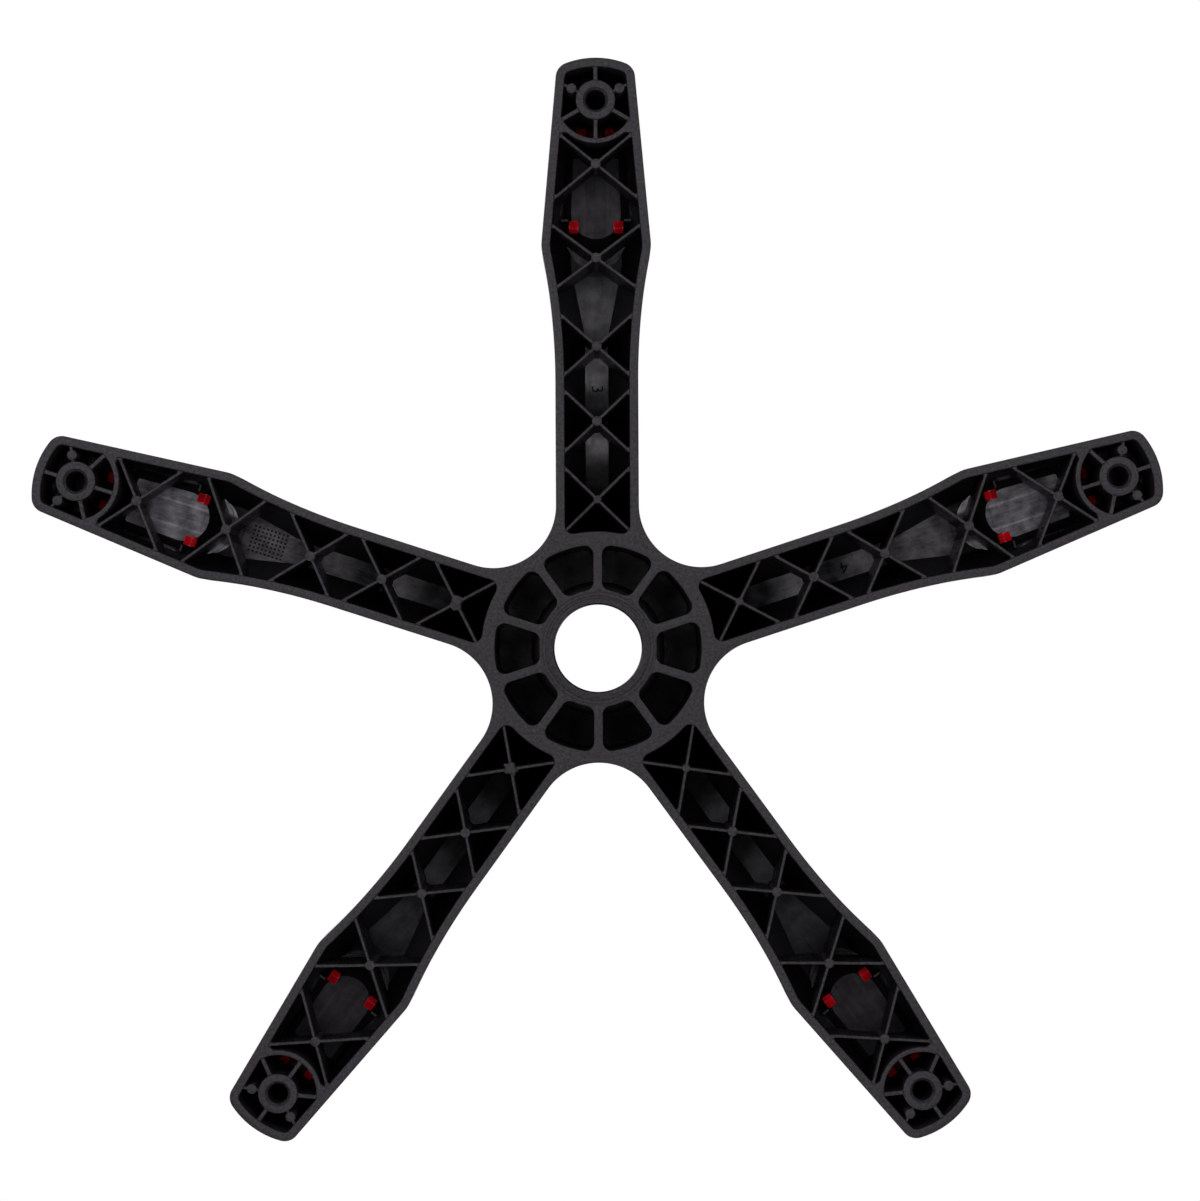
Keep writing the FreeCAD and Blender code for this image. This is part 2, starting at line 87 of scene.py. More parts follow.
def softened(path, radius, closed=True, sharpest=10.0, steps=5):
    """Round the sharp corners of a path; radius is a number, or gives one for a corner's place."""
    count = len(path)
    ahead = np.roll(path, -1, 0) - path
    length = np.hypot(ahead[:, 0], ahead[:, 1])
    way = ahead / length[:, None]
    before = np.roll(way, 1, 0)
    turn = np.degrees(np.arctan2(before[:, 0] * way[:, 1] - before[:, 1] * way[:, 0], (before * way).sum(1)))
    corners = [i for i in range(count) if abs(turn[i]) > sharpest and (closed or 0 < i < count - 1)]
    if not corners:
        return path
    place = np.concatenate([[0], np.cumsum(length)])
    total = place[-1] if closed else place[-2]
    marks = place[:-1]
    nodes = np.vstack([path, path[:1]])

    def point(distance):
        if closed:
            distance = distance % total
        i = min(int(np.searchsorted(place, distance, "right")) - 1, len(place) - 2)
        return nodes[i] + way[i] * (distance - place[i])

    cuts = []
    for n, i in enumerate(corners):
        last, following = corners[n - 1], corners[(n + 1) % len(corners)]
        gap_back = marks[i] - (marks[last] if n else (marks[last] - total if closed else -marks[i]))
        gap_ahead = (marks[following] if n + 1 < len(corners) else marks[following] + total) - marks[i]
        if not closed and n + 1 == len(corners):
            gap_ahead = 2 * (total - marks[i])
        wanted = radius(path[i]) if callable(radius) else radius
        cuts.append(min(wanted * math.tan(math.radians(abs(turn[i])) / 2), 0.45 * gap_back, 0.45 * gap_ahead))
    result = [] if closed else [path[0]]
    for n, i in enumerate(corners):
        cut = cuts[n]
        start, end = point(marks[i] - cut), point(marks[i] + cut)
        angle = math.radians(abs(turn[i]))
        handle = 4 / 3 * math.tan(angle / 4) * cut / math.tan(angle / 2)
        if not closed and n == 0:
            result += [path[j] for j in range(1, i) if marks[j] < marks[i] - cut - 1e-6]
        one, two = start + before[i] * handle, end - way[i] * handle
        for t in np.linspace(0, 1, steps + 1):
            u = 1 - t
            result.append(u ** 3 * start + 3 * t * u ** 2 * one + 3 * t * t * u * two + t ** 3 * end)
        if n + 1 < len(corners):
            limit = marks[corners[n + 1]] - cuts[n + 1]
        else:
            limit = marks[corners[0]] + total - cuts[0] if closed else total + 1
        between = [j for j in range(count) if marks[i] + cut + 1e-6 < marks[j] < limit - 1e-6]
        if closed and n + 1 == len(corners):
            between += [j for j in range(count) if marks[i] + cut + 1e-6 < marks[j] + total < limit - 1e-6]
        result += [path[j] for j in between]
    return np.array(result)


def moved_in(loop, distance):
    """A closed loop moved inwards, or outwards for a negative distance."""
    ahead = np.roll(loop, -1, 0) - loop
    way = ahead / np.hypot(ahead[:, 0], ahead[:, 1])[:, None]
    area = (loop[:, 0] * np.roll(loop[:, 1], -1) - np.roll(loop[:, 0], -1) * loop[:, 1]).sum()
    inward = np.stack([-way[:, 1], way[:, 0]], 1) * np.sign(area)
    both = inward + np.roll(inward, 1, 0)
    both /= np.maximum((both ** 2).sum(1) / 2, 0.4)[:, None]
    return loop + both * distance


def outline_half(y):
    """Half the width of an arm at y."""
    y = np.asarray(y, float)
    run = np.clip(y, FLARE_START, KNEE) - FLARE_START
    flare = WAIST_HALF + FLARE_RADIUS - np.sqrt(FLARE_RADIUS ** 2 - run ** 2)
    return np.where(y > KNEE, KNEE_HALF - FOOT_LEAN * (y - KNEE), flare)


def arm_side(inset):
    """An arm's right side in plan, from the start of its flare to the middle of its tip."""
    y = np.linspace(FLARE_START, KNEE, 15)
    flare = np.stack([outline_half(y) - inset, y], 1)
    along = np.array([-FOOT_LEAN, 1]) / math.hypot(FOOT_LEAN, 1)
    centre = np.array([0, TIP - TIP_ARC])
    radius = TIP_ARC - inset
    from_centre = flare[-1] - centre
    back = from_centre @ along
    corner = flare[-1] + along * (-back + math.sqrt(back ** 2 - from_centre @ from_centre + radius ** 2))
    turn = math.degrees(math.atan2(corner[0], corner[1] - centre[1]))
    path = np.vstack([flare, bend(centre, radius, turn, 0, 10)])
    return softened(path, lambda p: (KNEE_ROUND if p[1] < 250 else TIP_CORNER) - inset, closed=False, steps=8)


def both_sides(path):
    """A path that ends on the arm's axis, with its mirror image."""
    return np.vstack([path, (path * [-1, 1])[::-1][1:]])


notch_middle = (WAIST_HALF + NOTCH_RADIUS) / math.sin(math.radians(SECTOR))


def outline_path(inset):
    """The sector's outer edge, from the notch on the right, round the tip, to the notch on the left."""
    notch = bend(polar(notch_middle, SECTOR), NOTCH_RADIUS + inset, 180 + SECTOR, 270, 14)
    return both_sides(spaced(np.vstack([notch, arm_side(inset)]), 4.0))


outline = outline_path(0)
notch_bottom = notch_middle - NOTCH_RADIUS


# Heights of the base moulding
# The arms are channels, open below, under a flat strip with a slope to each side wall. The strip
# arches up to the hub, and the foot's flat top falls gently to the tip.
ARCH_END = 190.0
ARCH_END_HEIGHT = 41.0
ARCH_RADIUS = 275.0
FOOT_SLOPE = math.radians(2.86)
STRIP_HALF = 8.2
WAIST_FALL = 19.0 / (WAIST_HALF - STRIP_HALF)
PAD_BORDER = 6.0
PAD_FALL = 7.0 / PAD_BORDER
PAD_START = 150.0
PAD_START_HALF = 3.7
ROOF = 3.5
HUB_TOP = 82.0
CROWN_RADIUS = 45.0
SHOULDER_RADIUS = 67.0
SHOULDER_FALL = 20.0 / 22.0
COLLAR_TOP = 88.0
COLLAR_RADIUS = 36.5


def foot_height(y):
    """Height of the foot's flat top."""
    return ARCH_END_HEIGHT - math.tan(FOOT_SLOPE) * (y - ARCH_END)


def ridge_height(y):
    """Height of the strip on the arch."""
    centre_y = ARCH_END + ARCH_RADIUS * math.sin(FOOT_SLOPE)
    centre_z = ARCH_END_HEIGHT + ARCH_RADIUS * math.cos(FOOT_SLOPE)
    return centre_z - np.sqrt(ARCH_RADIUS ** 2 - (np.minimum(y, centre_y) - centre_y) ** 2)


def pad_half(y):
    """Half the width of the foot's flat top, which starts as a point on the arch."""
    widening = KNEE_HALF - PAD_BORDER - PAD_START_HALF
    opening = PAD_START_HALF + widening * (y - PAD_START) / (KNEE - PAD_START)
    return np.where(y > KNEE, outline_half(np.maximum(y, KNEE)) - PAD_BORDER, opening)


def blend_low(a, b, reach):
    """The lower of two heights, with a rounding where they meet."""
    near = np.maximum(reach - np.abs(a - b), 0) / max(reach, 1e-9)
    return np.minimum(a, b) - near ** 2 * reach / 4


def blend_high(a, b, reach):
    """The higher of two heights, with a fillet where they meet."""
    return -blend_low(-a, -b, reach)


def under_half(y):
    """Half width of the flat strip on the inside of the foot's roof."""
    return np.minimum(6.45 + 0.205 * (y - 174.0), 14.3)


def arm_height(x, y, skin, reach):
    """Height of an arm's top at a place, or that of a surface a skin's thickness inside it."""
    across = np.abs(x)
    strip = STRIP_HALF - skin * math.tan(math.atan(WAIST_FALL) / 2)
    arch = blend_low(ridge_height(y) - skin, ridge_height(y) - skin - WAIST_FALL * (across - strip), reach)
    top = foot_height(y) - skin
    half = under_half(y) if skin else pad_half(y)
    foot = blend_low(top, top - PAD_FALL * (across - half), reach)
    edge = TIP - PAD_BORDER - skin * math.tan(math.atan(PAD_FALL) / 2)
    foot = blend_low(foot, foot_height(TIP) - skin - PAD_FALL * (y - edge), reach)
    run_out = np.where(y > ARCH_END, arch - (y - ARCH_END) * 0.6, arch)
    return blend_high(run_out, foot, reach * 0.8)


def top_height(points):
    """Height of the moulding's top: the arm, the hub's cone and the collar."""
    x, y = points[:, 0], points[:, 1]
    r = np.hypot(x, y)
    arm = arm_height(x, y, 0.0, 3.0)
    cone = HUB_TOP - SHOULDER_FALL * (r - CROWN_RADIUS) - 2.0 * np.maximum(r - SHOULDER_RADIUS, 0)
    hub = blend_low(np.full_like(r, HUB_TOP), cone, 4.0)
    return blend_low(blend_high(arm, hub, 5.0), np.full_like(r, HUB_TOP), 3.0)


# Openings of the base moulding
# Under the hub ten spokes join the column's tube to the hub's wall. Each arm has crossed ribs in its
# channel, and a boss with a bore for the caster's stem stands on four ribs in the foot's end.
SPOKE_HALF = 2.45
TUBE_RADIUS = 32.0
HUB_POCKET_RADIUS = 56.0
HUB_POCKET_CORNER = 4.6
HUB_POCKET_TOP = 68.0
TUBE_STEP_RADIUS = 37.4
HUB_WALL_RADIUS = 63.4
CROSSINGS = ((80.7, 44.3), (123.2, 43.2), (163.8, 41.4), (211.7, 36.6), (262.6, 39.4))
RIB_HALF = 0.84
RIB_RECESS = 1.0
RIB_CORNER = 0.8
CHANNEL_CORNER = 4.5
SOCKET_RADIUS = 5.5
SOCKET_MOUTH = 6.9
SOCKET_DEPTH = 27.0
BOSS_RADIUS = 10.8
RING_RADIUS = 20.8
RING_OUTSIDE = 23.7
RING_WEB_START = 17.9
FOOT_RIB_HALF = 1.15
FOOT_RIB_ANGLES = (0, 120, 180, 240)
CAP_ROUND_CENTRE = 231.8
CAP_ROUND_RADIUS = 16.3
CAP_LEAN = 2.8
CAP_TIP_BORDER = 8.5
CAP_CORNER = 4.0
CAP_EDGE = 3.0
CAP_GAP = 0.25
LEDGE_UNDER = 5.6
LEDGE_WALL = 2.4
POCKET_ROUND_CENTRE = 239.7
POCKET_HALF = 11.8
POCKET_END = 267.9
POCKET_DEPTH = 13.2
PLATEAU_UNDER = 16.0
PLATEAU_WALL = 1.9
PLATEAU_DRAFT = 6.2
HOOK_BACK, HOOK_SPACING, HOOK_WIDTH = 227.8, 12.3, 5.1
SLOT_LENGTH = 4.55
WINDOW = (13.2, 282.6, 291.0)
socket = np.array([0, SOCKET_CIRCLE])


def inside(loop, points):
    """Which points lie inside a closed loop."""
    x, y = points[:, 0][:, None], points[:, 1][:, None]
    x0, y0 = loop[:, 0][None], loop[:, 1][None]
    x1, y1 = np.roll(loop[:, 0], -1)[None], np.roll(loop[:, 1], -1)[None]
    crosses = (y0 > y) != (y1 > y)
    with np.errstate(divide="ignore", invalid="ignore"):
        where = x0 + (y - y0) * (x1 - x0) / (y1 - y0)
    return (crosses & (x < where)).sum(1) % 2 == 1


def distance_to(paths, points):
    """Distance of each point to the nearest of some paths."""
    best = np.full(len(points), 1e9)
    for path in paths:
        start, run = path[:-1], np.diff(path, axis=0)
        span = np.maximum((run ** 2).sum(1), 1e-12)
        for i in range(0, len(points), 400):
            part = points[i:i + 400, None] - start[None]
            t = np.clip((part * run[None]).sum(2) / span, 0, 1)
            gap = part - t[..., None] * run[None]
            best[i:i + 400] = np.minimum(best[i:i + 400], np.sqrt((gap ** 2).sum(2)).min(1))
    return best


def meshed(paths, extra=()):
    """Triangles in plan that keep every path as edges. Closed loops repeat their first point."""
    points, edges = [], []
    for path in paths:
        base = len(points)
        points += [tuple(p) for p in path]
        edges += [(base + i, base + i + 1) for i in range(len(path) - 1)]
    points += [tuple(p) for p in extra]
    found = delaunay_2d_cdt(points, edges, [], 0, 1e-5)
    return np.array([tuple(p) for p in found[0]]), np.array(found[2])


def closed(loop):
    return np.vstack([loop, loop[:1]])


def strap(half_width, start, end):
    """The plan of a rib between two points."""
    way = (end - start) / np.hypot(*(end - start))
    side = np.array([way[1], -way[0]]) * half_width
    return np.array([start + side, end + side, end - side, start - side])


def cells_between(space, blocks, corner):
    """What is left of a space between ribs: one loop for each cell, with its corners rounded."""
    points, triangles = meshed([closed(space)] + [closed(block) for block in blocks])
    middles = points[triangles].mean(1)
    free = inside(space, middles)
    for block in blocks:
        free &= ~inside(block, middles)
    beside = {}
    for t in np.flatnonzero(free):
        a, b, c = triangles[t]
        for edge in ((a, b), (b, c), (c, a)):
            beside[edge] = t
    ahead = {}
    for (a, b), t in beside.items():
        if (b, a) not in beside:
            ahead.setdefault(a, []).append(b)
    loops = []
    while ahead:
        start = next(iter(ahead))
        loop, here = [], start
        while here in ahead:
            following = ahead[here].pop()
            if not ahead[here]:
                del ahead[here]
            loop.append(here)
            here = following
            if here == start:
                break
        path = points[loop]
        keep = np.hypot(*(path - np.roll(path, 1, 0)).T) > 1e-3
        path = path[keep]
        back, ahead_way = path - np.roll(path, 1, 0), np.roll(path, -1, 0) - path
        bent = np.abs(back[:, 0] * ahead_way[:, 1] - back[:, 1] * ahead_way[:, 0]) > 1e-4
        path = path[bent]
        if len(path) > 2:
            loops.append(spaced(closed(softened(path, corner)), 6.0)[:-1])
    return loops


inner_side = arm_side(WALL)
corner_x, corner_reach = WAIST_HALF - WALL - CHANNEL_CORNER, HUB_WALL_RADIUS + CHANNEL_CORNER
hub_turn = math.degrees(math.asin(corner_x / corner_reach))
hub_corner = polar(corner_reach, hub_turn)
web_y = SOCKET_CIRCLE - RING_WEB_START
channel_side = inner_side[(inner_side[:, 1] < web_y - 0.01) & (inner_side[:, 1] > hub_corner[1] + 0.3)]
web_x = np.interp(web_y, inner_side[:, 1], inner_side[:, 0])
ring_corner = 180 - math.degrees(math.acos(RING_WEB_START / RING_OUTSIDE))
channel_end = np.vstack([[[web_x, web_y]], bend(socket, RING_OUTSIDE, ring_corner, 180, 14)])
hub_end = np.vstack([
    bend((0, 0), HUB_WALL_RADIUS, 0, hub_turn, 5),
    bend(hub_corner, CHANNEL_CORNER, 180 + hub_turn, 90, 6)[1:],
])
channel = both_sides(np.vstack([hub_end, channel_side, channel_end]))[:-1]

rib_straps = []
for y, angle in CROSSINGS:
    for turn in (angle, -angle):
        reach = polar(80.0, 90 + turn)
        rib_straps.append(strap(RIB_HALF, np.array([0, y]) - reach, np.array([0, y]) + reach))
channel_cells = cells_between(channel, rib_straps, RIB_CORNER)

ring_y = np.linspace(SOCKET_CIRCLE, SOCKET_CIRCLE - RING_RADIUS, 400)
ring_x = np.interp(ring_y, inner_side[:, 1], inner_side[:, 0])
ring_gap = np.hypot(ring_x, ring_y - SOCKET_CIRCLE) - RING_RADIUS
meeting_y = ring_y[np.argmax(ring_gap > 0)]
meeting_turn = 180 - math.degrees(math.acos((SOCKET_CIRCLE - meeting_y) / RING_RADIUS))
tip_side = inner_side[inner_side[:, 1] > meeting_y + 1.0]
foot_space = both_sides(np.vstack([bend(socket, RING_RADIUS, 180, meeting_turn, 16), tip_side]))[:-1]
boss = bend(socket, BOSS_RADIUS, 0, 360, 48)[:-1]
foot_ribs = [strap(FOOT_RIB_HALF, socket, socket + polar(40.0, angle)) for angle in FOOT_RIB_ANGLES]
foot_cells = cells_between(foot_space, [boss] + foot_ribs, 0.9)

inner = TUBE_RADIUS + HUB_POCKET_CORNER
outer = HUB_POCKET_RADIUS - HUB_POCKET_CORNER
inset = SPOKE_HALF + HUB_POCKET_CORNER
near = math.degrees(math.asin(inset / inner))
far = math.degrees(math.asin(inset / outer))
hub_pocket = np.vstack([
    bend(polar(inner, near), HUB_POCKET_CORNER, near - 180, -90, 6),
    bend(polar(outer, far), HUB_POCKET_CORNER, -90, far, 6),
    bend((0, 0), HUB_POCKET_RADIUS, far, SECTOR - far, 6)[1:-1],
    bend(polar(outer, SECTOR - far), HUB_POCKET_CORNER, SECTOR - far, SECTOR + 90, 6),
    bend(polar(inner, SECTOR - near), HUB_POCKET_CORNER, SECTOR + 90, SECTOR + 180 - near, 6),
    bend((0, 0), TUBE_RADIUS, SECTOR - near, near, 5)[1:-1],
])
hub_pockets = [hub_pocket, (hub_pocket * [-1, 1])[::-1]]


def shield(centre_y, radius, end_y):
    """A shield round towards the hub, with leaning sides and a straight outer end."""
    side = bend((0, centre_y), radius, 180, 90 - CAP_LEAN, 16)
    corner = side[-1] + polar(1.0, -CAP_LEAN) * (end_y - side[-1][1])
    path = np.vstack([side, [corner], [[0, end_y]]])
    return both_sides(path)[:-1]


def cap_outline(grow):
    """The trim cap's outline, or one outside it by grow."""
    centre = np.array([0, TIP - TIP_ARC])
    start = np.array([0, CAP_ROUND_CENTRE]) + polar(CAP_ROUND_RADIUS - CAP_CORNER, 90 - CAP_LEAN)
    along = polar(1.0, -CAP_LEAN)
    radius = TIP_ARC - CAP_TIP_BORDER - CAP_CORNER
    from_centre = start - centre
    back = from_centre @ along
    middle = start + along * (-back + math.sqrt(back ** 2 - from_centre @ from_centre + radius ** 2))
    end = math.degrees(math.atan2(middle[0], middle[1] - centre[1]))
    path = np.vstack([
        bend((0, CAP_ROUND_CENTRE), CAP_ROUND_RADIUS + grow, 180, 90 - CAP_LEAN, 18),
        bend(middle, CAP_CORNER + grow, 90 - CAP_LEAN, end, 6),
        bend(centre, radius + CAP_CORNER + grow, end, 0, 8)[1:],
    ])
    return both_sides(spaced(path, 5.0))[:-1]


def rectangle(x0, x1, y0, y1):
    return np.array([[x0, y0], [x1, y0], [x1, y1], [x0, y1]])


ledge = softened(shield(CAP_ROUND_CENTRE - 0.2, CAP_ROUND_RADIUS + LEDGE_WALL, TIP), 1.0)
plateau_end = POCKET_END + PLATEAU_WALL - 0.7
plateau = softened(shield(POCKET_ROUND_CENTRE - 0.7, POCKET_HALF + PLATEAU_WALL, plateau_end), 1.2)
plateau_foot = moved_in(plateau, -PLATEAU_DRAFT)
plateau_band = rectangle(-6.2, 6.2, POCKET_ROUND_CENTRE - 11.5, POCKET_END - 1.2)
cap_pocket = softened(shield(POCKET_ROUND_CENTRE - 0.5, POCKET_HALF, POCKET_END - 0.5), 1.5)
cap_seat = cap_outline(CAP_GAP)
slots = []
for side in (-1, 1):
    middle = side * HOOK_SPACING
    half = HOOK_WIDTH / 2 + 0.35
    slots.append(rectangle(middle - half, middle + half, HOOK_BACK - 1.05, HOOK_BACK - 0.6 + SLOT_LENGTH))
window_half, window_start, window_end = WINDOW
boss_bite = bend(socket, BOSS_RADIUS, 180 - 57, 180 + 57, 16)
boss_bite = boss_bite[boss_bite[:, 1] < window_end]
bite_x = math.sqrt(BOSS_RADIUS ** 2 - (SOCKET_CIRCLE - window_end) ** 2)
window = np.vstack([
    [[-window_half, window_start], [window_half, window_start], [window_half, window_end],
     [bite_x, window_end]],
    boss_bite,
    [[-bite_x, window_end], [-window_half, window_end]],
])

# Surface of the base moulding
# The tool left sharp walls with small radii at the mouths of the pockets. The underside is built
# from flat regions at their heights with walls between them, and the top from its own regions.
RIM_ROUND = 0.7
RIB_ROUND = 0.35
TOP_ROUND = 2.2
HUB_RINGS = ((26.6, 0.4, 0.16), (28.4, 0.5, 0.3), (30.2, 0.4, 0.2), (59.8, 0.4, 0.1))


def rounding(distance, radius):
    """How far a rounded edge lies below its face at a distance from the edge."""
    run = radius - np.clip(distance, 0, radius)
    return radius - np.sqrt(np.maximum(radius ** 2 - run ** 2, 0))


def sector_line(degrees, radii):
    return polar(np.array(radii), np.full(len(radii), degrees))


def surface(points, triangles, region, heights, is_open, textured):
    """Faces at the height of each triangle's region, walls between regions, and each face's finish."""
    vertices, index, faces, finishes = [], {}, [], []

    def vertex(i, z):
        key = (i, round(float(z), 4))
        if key not in index:
            index[key] = len(vertices)
            vertices.append((points[i][0], points[i][1], float(z)))
        return index[key]

    levels = {}
    for t, corners in enumerate(triangles):
        for i in corners:
            levels.setdefault(i, set()).add(round(float(heights[region[t]][i]), 4))
    beside = {}
    one, two, three = (points[triangles[:, n]] for n in range(3))
    (ax, ay), (bx, by) = (two - one).T, (three - one).T
    area = np.abs(ax * by - bx * ay)
    for t, corners in enumerate(triangles):
        if region[t] not in is_open and area[t] > 1e-4:
            faces.append([vertex(i, heights[region[t]][i]) for i in corners])
            finishes.append(0 if region[t] in textured else 1)
        for n in range(3):
            beside.setdefault(frozenset((corners[n], corners[(n + 1) % 3])), []).append(t)
    for edge, pair in beside.items():
        if len(pair) == 1:
            for i in edge:
                levels[i].add(round(float(heights[OUTSIDE][i]), 4))
    turn = np.degrees(np.arctan2(points[:, 0], points[:, 1]))
    near_side = np.abs(np.abs(turn) - SECTOR) < 0.02
    on_side = near_side & (np.hypot(points[:, 0], points[:, 1]) < notch_bottom + 0.01)
    for edge, pair in beside.items():
        i, j = tuple(edge)
        near, far = region[pair[0]], region[pair[1]] if len(pair) == 2 else OUTSIDE
        if near == far or (near in is_open and far in is_open) or (on_side[i] and on_side[j]):
            continue
        one, two = heights[near], heights[far]
        column = []
        for k in (i, j):
            low, high = sorted((round(float(one[k]), 4), round(float(two[k]), 4)))
            column.append([z for z in sorted(levels[k]) if low <= z <= high])
        ring = [vertex(i, z) for z in column[0]] + [vertex(j, z) for z in reversed(column[1])]
        if len(ring) > 2:
            faces.append(ring)
            finishes.append(0 if OUTSIDE in (near, far) else 1)
    return vertices, faces, finishes


(
    OUTSIDE, RIM, RIB, CHANNEL, LEDGE, DRAFT, PLATEAU, BAND, HUB_POCKET, TUBE_STEP, SOCKET, MOUTH, THROUGH,
) = range(13)
pocket_mouths = [closed(loop) for loop in hub_pockets]
cell_mouths = [closed(loop) for loop in channel_cells + foot_cells]
bore_arc = bend((0, 0), BORE_RADIUS, -SECTOR, SECTOR, 20)
socket_circle = closed(bend(socket, SOCKET_RADIUS, 0, 360, 48)[:-1])
mouth_circle = closed(bend(socket, SOCKET_MOUTH, 0, 360, 48)[:-1])
rim_edges = [outline, bore_arc, closed(channel), closed(foot_space), closed(boss)] + pocket_mouths
edge_radii = [BORE_RADIUS, BORE_RADIUS + 0.21, BORE_RADIUS + RIM_ROUND]
for radius, half, depth in HUB_RINGS:
    edge_radii += [radius - half, radius, radius + half]
edge_radii += [34.0, 40.0, 46.0, 52.0, notch_bottom - RIM_ROUND, notch_bottom - 0.21, notch_bottom]
edge_radii = sorted(edge_radii)
paths = [outline, outline_path(0.21), outline_path(RIM_ROUND), bore_arc]
paths += [bend((0, 0), BORE_RADIUS + d, -SECTOR, SECTOR, 20) for d in (0.21, RIM_ROUND)]
paths += [sector_line(SECTOR, edge_radii), sector_line(-SECTOR, edge_radii)]
for radius, half, depth in HUB_RINGS:
    paths += [bend((0, 0), radius + d, -SECTOR, SECTOR, 30) for d in (-half, 0, half)]
for loop in hub_pockets + [channel, foot_space]:
    paths += [closed(loop)] + [closed(moved_in(loop, -d)) for d in (0.21, RIM_ROUND)]
paths += [closed(boss), closed(moved_in(boss, 0.21)), closed(moved_in(boss, RIM_ROUND))]
for loop in channel_cells + foot_cells:
    paths += [closed(loop), closed(moved_in(loop, -RIB_ROUND))]
paths += [closed(ledge), closed(plateau_foot), closed(plateau), closed(plateau_band),
          closed(window)] + [closed(slot) for slot in slots]
for side in (-1, 1):
    paths.append(bend((0, 0), TUBE_STEP_RADIUS, side * 4, side * 32, 8))
paths += [socket_circle, mouth_circle]
for side in (-1, 1):
    paths.append(np.array([[side * (STRIP_HALF - 1.75), y] for y in range(60, 172, 4)]))
    paths.append(np.array([[side * under_half(y), y] for y in range(174, 300, 4)]))
points, triangles = meshed(paths)
middles = points[triangles].mean(1)
radius_of = np.hypot(middles[:, 0], middles[:, 1])
sector_loop = np.vstack([outline, sector_line(-SECTOR, edge_radii)[::-1][1:], bore_arc[1:],
                         sector_line(SECTOR, edge_radii)[1:-1]])
region = np.full(len(triangles), OUTSIDE)
region[inside(sector_loop, middles)] = RIM
region[inside(channel, middles) | inside(foot_space, middles)] = RIB
in_cell = np.zeros(len(triangles), bool)
for loop in channel_cells + foot_cells:
    in_cell |= inside(loop, middles)
region[in_cell] = CHANNEL
region[in_cell & inside(ledge, middles)] = LEDGE
region[in_cell & inside(plateau_foot, middles)] = DRAFT
region[in_cell & inside(plateau, middles)] = PLATEAU
region[in_cell & inside(plateau, middles) & inside(plateau_band, middles)] = BAND
region[in_cell & inside(window, middles)] = THROUGH
for slot in slots:
    region[in_cell & inside(slot, middles)] = THROUGH
for loop in hub_pockets:
    region[inside(loop, middles)] = HUB_POCKET
    region[inside(loop, middles) & (radius_of < TUBE_STEP_RADIUS)] = TUBE_STEP
from_socket = np.hypot(*(middles - socket).T)
region[from_socket < BOSS_RADIUS - 0.01] = RIM
region[from_socket < SOCKET_MOUTH - 0.01] = MOUTH
region[from_socket < SOCKET_RADIUS - 0.01] = SOCKET
region[(radius_of < BORE_RADIUS - 0.01)] = OUTSIDE

x, y = points[:, 0], points[:, 1]
r = np.hypot(x, y)
rim_gap = distance_to(rim_edges, points)
grooves = np.zeros(len(points))
for radius, half, depth in HUB_RINGS:
    grooves = np.maximum(grooves, depth * np.clip(1 - np.abs(r - radius) / half, 0, 1))
through_height = foot_height(y) - CAP_EDGE
edge_top = top_height(points) - rounding(np.zeros(len(points)), TOP_ROUND) * 0.8
bore_step = 36.0
ceiling = arm_height(x, y, ROOF, 0.2)
ledge_height = np.minimum(foot_height(y) - LEDGE_UNDER, ceiling)
plateau_height = foot_height(y) - PLATEAU_UNDER
along_draft = distance_to([closed(plateau)], points) / PLATEAU_DRAFT
along_draft = np.where(along_draft > 0.97, 1, along_draft)
heights = {
    OUTSIDE: np.where(r < 45, bore_step, edge_top),
    RIM: rounding(rim_gap, RIM_ROUND) + grooves,
    RIB: RIB_RECESS + rounding(distance_to(cell_mouths, points), RIB_ROUND),
    CHANNEL: ceiling,
    LEDGE: ledge_height,
    DRAFT: np.minimum(plateau_height + (ledge_height - plateau_height) * along_draft, ledge_height),
    PLATEAU: plateau_height,
    BAND: foot_height(y) - PLATEAU_UNDER - 0.4,
    HUB_POCKET: np.full(len(points), HUB_POCKET_TOP),
    TUBE_STEP: 3.0 + (r - TUBE_RADIUS) * 9.0,
    SOCKET: np.full(len(points), SOCKET_DEPTH),
    MOUTH: np.clip(SOCKET_MOUTH - np.hypot(*(points - socket).T), 0, SOCKET_MOUTH - SOCKET_RADIUS),
    THROUGH: through_height,
}
underside = surface(points, triangles, region, heights, {OUTSIDE, THROUGH}, {RIM, RIB, MOUTH, TUBE_STEP})

TOP_OUTSIDE, TOP, SEAT, CAP_POCKET, TOP_THROUGH, COLLAR, TOP_BORE = range(7)
BORE_MOUTH = 26.3
COLLAR_ROUND = 1.2
line_radii = [BORE_MOUTH, 30.0, COLLAR_RADIUS - 1.2, COLLAR_RADIUS - 0.4, COLLAR_RADIUS, 38.5, 41.5, 44.5,
              47.5]
line_radii += [50.5, 53.5, 56.5, notch_bottom - 2.2, notch_bottom - 1.1, notch_bottom - 0.35, notch_bottom]
top_paths = [outline] + [outline_path(d) for d in (0.35, 1.1, 2.2)]
top_paths += [bend((0, 0), radius, -SECTOR, SECTOR, 20) for radius in (BORE_MOUTH, COLLAR_RADIUS)]
top_paths += [bend((0, 0), COLLAR_RADIUS - d, -SECTOR, SECTOR, 20) for d in (0.4, 1.2)]
top_paths += [sector_line(SECTOR, line_radii), sector_line(-SECTOR, line_radii)]
top_paths += [closed(cap_seat), closed(moved_in(cap_seat, -0.5)), closed(cap_pocket), closed(window)]
top_paths += [closed(slot) for slot in slots]
near_window = [loop for loop in foot_cells if loop[:, 1].min() < window_end]
top_paths += [closed(loop) for loop in near_window]
grid_step = 3.2
columns, rows = np.meshgrid(np.arange(-48, 48.1, grid_step), np.arange(20, TIP, grid_step * 0.866))
